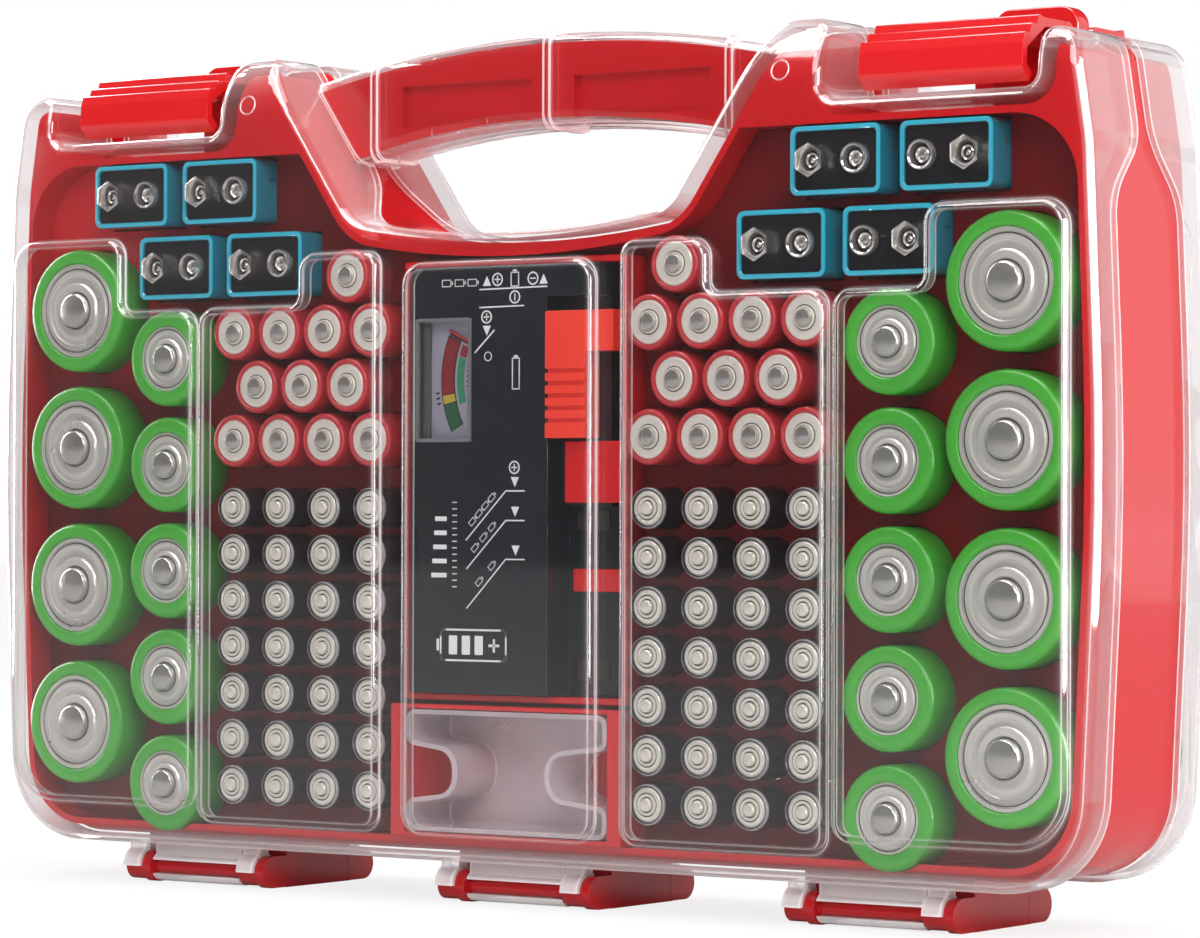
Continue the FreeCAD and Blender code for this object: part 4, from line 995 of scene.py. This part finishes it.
# ---------------------------------------------------------------- bays, latches and hinge blocks
# Bright red mouldings: the two bays inside and the four hooked latches with their pivot brackets
# in the seam. The three foot blocks that carry the hinge rods are a deeper red.
bright_red = moulded("bright_red", (0.70, 0.011, 0.014), (0.60, 0.008, 0.010), gloss=0.18)
foot_red = moulded("foot_red", (0.50, 0.006, 0.010), (0.40, 0.004, 0.007), gloss=0.2)
for name, width in (
    ("tester_bay", 0.0005), ("coin_bay", 0.0004), ("latch_bracket_left", 0.0005),
    ("latch_bracket_right", 0.0005), ("latch_front_left", 0.0004), ("latch_front_right", 0.0004),
    ("latch_back_left", 0.0004), ("latch_back_right", 0.0004),
):
    dress(name, bright_red)
    soften(name, width)
for name in ("hinge_block_left", "hinge_block_centre", "hinge_block_right"):
    dress(name, foot_red)
    soften(name, 0.0004)
dress("latch_pins", can_steel)

# ---------------------------------------------------------------- clear parts
# The two covers, the coin cell box and the meter's window in clear polished polystyrene, from 1.0
# to 1.6 mm thick. The box is a little milky from its mould.
# Painted light on the clear parts: white at a slant, on corners that face right or up and along the
# covers' lower rims; the darker slanted tint is painted shade.
STRAIGHT_TINT = (0.985, 0.98, 0.982)
SLANTED_TINT = (0.70, 0.65, 0.66)
PAINTED_EDGE_LIGHT = (0.97, 0.91, 0.91)
MILK_WHITE = (0.92, 0.85, 0.89)
CORNER_WIDTH = 0.0014
CORNER_GAIN = 13.0
PAINTED_GLOW_HEIGHT = 0.0155
PAINTED_GLOW_FADE = 110.0


def clear(name, haze=0.0, foot=0.0):
    """It mirrors at a glance and lets the rest through, darker at a slant as painted shade. Slanted
    faces and corners take a painted white highlight, corners most where they face right or up. Haze is
    the share that scatters all over, and foot the share of painted light along the lower rim."""
    glassy = material(name)
    glance = glassy.node("ShaderNodeLayerWeight", {}, {"Blend": 0.5})["Facing"]
    straight, slanted = (
        glassy.node("ShaderNodeBsdfTransparent", {}, {"Color": rgb(tint)})["BSDF"]
        for tint in (STRAIGHT_TINT, SLANTED_TINT)
    )
    through = glassy.mixed((glance ** 2.5).clamped(), straight, slanted)
    white = glassy.node("ShaderNodeBsdfDiffuse", {}, {"Color": rgb(PAINTED_EDGE_LIGHT)})["BSDF"]
    eased = glassy.node("ShaderNodeBevel", {"samples": 6}, {"Radius": CORNER_WIDTH})["Normal"]
    flat = glassy.node("ShaderNodeNewGeometry")["Normal"]
    sockets = {0: eased, 1: flat}
    alike = glassy.node("ShaderNodeVectorMath", {"operation": "DOT_PRODUCT"}, sockets)["Value"]
    corner = ((1.0 - alike) * CORNER_GAIN).clamped()
    facing = glassy.node("ShaderNodeSeparateXYZ", {}, {"Vector": flat})
    painted_lit_side = (facing["X"] * 0.90 + facing["Z"] * 0.35 + 0.14).clamped()
    place = glassy.node("ShaderNodeTexCoord")["Object"]
    height = glassy.node("ShaderNodeSeparateXYZ", {}, {"Vector": place})["Z"]
    painted_glow = ((PAINTED_GLOW_HEIGHT - height) * PAINTED_GLOW_FADE).clamped() * foot
    painted_light_share = ((glance ** 3.2) * 0.80 + corner * painted_lit_side + painted_glow).clamped()
    through = glassy.mixed(painted_light_share, through, white)
    if haze:
        milk = glassy.node("ShaderNodeBsdfDiffuse", {}, {"Color": rgb(MILK_WHITE)})["BSDF"]
        share = glassy.noise(scale=40.0, detail=3.0) * haze + haze * 0.5
        through = glassy.mixed(share, through, milk)
    mirror = glassy.node("ShaderNodeBsdfPrincipled", {}, {
        "Base Color": rgb(WHITE), "Metallic": 1.0, "Roughness": 0.03,
    })["BSDF"]
    mirrored = ((glance ** 5.0) * 0.9 + 0.045).clamped()
    glassy.output(glassy.mixed(mirrored, through, mirror))
    return glassy


# foot: painted light along the covers' lower rims
cover_clear = clear("cover_clear", foot=0.5)
for name in ("front_cover", "back_cover", "tester_window"):
    dress(name, cover_clear)
for name in ("front_cover", "back_cover"):
    soften(name, 0.0004)
dress("coin_cell_box", clear("box_clear", haze=0.34))

PIN_ACROSS = (-85.6, 85.6)
PIN_HEIGHT = 212.6
PIN_STEPS = 28
PIN_RING = [
    # radius, rise above the cover's outer face
    (2.75, 0.02), (2.65, 0.18), (2.4, 0.18), (2.3, 0.02),
]


def ejector_marks():
    """Round marks of the mould's ejector pins, as rings on the covers beside the handle."""
    for body, side in (("front_cover", -1), ("back_cover", 1)):
        marks = bmesh.new()
        for x in PIN_ACROSS:
            start = Vector((x * MM, side * 0.1, PIN_HEIGHT * MM))
            found, place, normal, _ = nodes[body].ray_cast(start, Vector((0, -side, 0)))
            if not found:
                continue
            set_in = Matrix.Translation(place) @ normal.to_track_quat("Z", "Y").to_matrix().to_4x4()
            sections = []
            for step in range(PIN_STEPS):
                angle = 2 * math.pi * step / PIN_STEPS
                sections.append([
                    set_in @ Vector((
                        radius * math.cos(angle) * MM, radius * math.sin(angle) * MM, rise * MM,
                    ))
                    for radius, rise in PIN_RING
                ])
            hoop(marks, sections)
        piece(f"{body}_marks", marks, cover_clear, body=f"{body}_body")


ejector_marks()
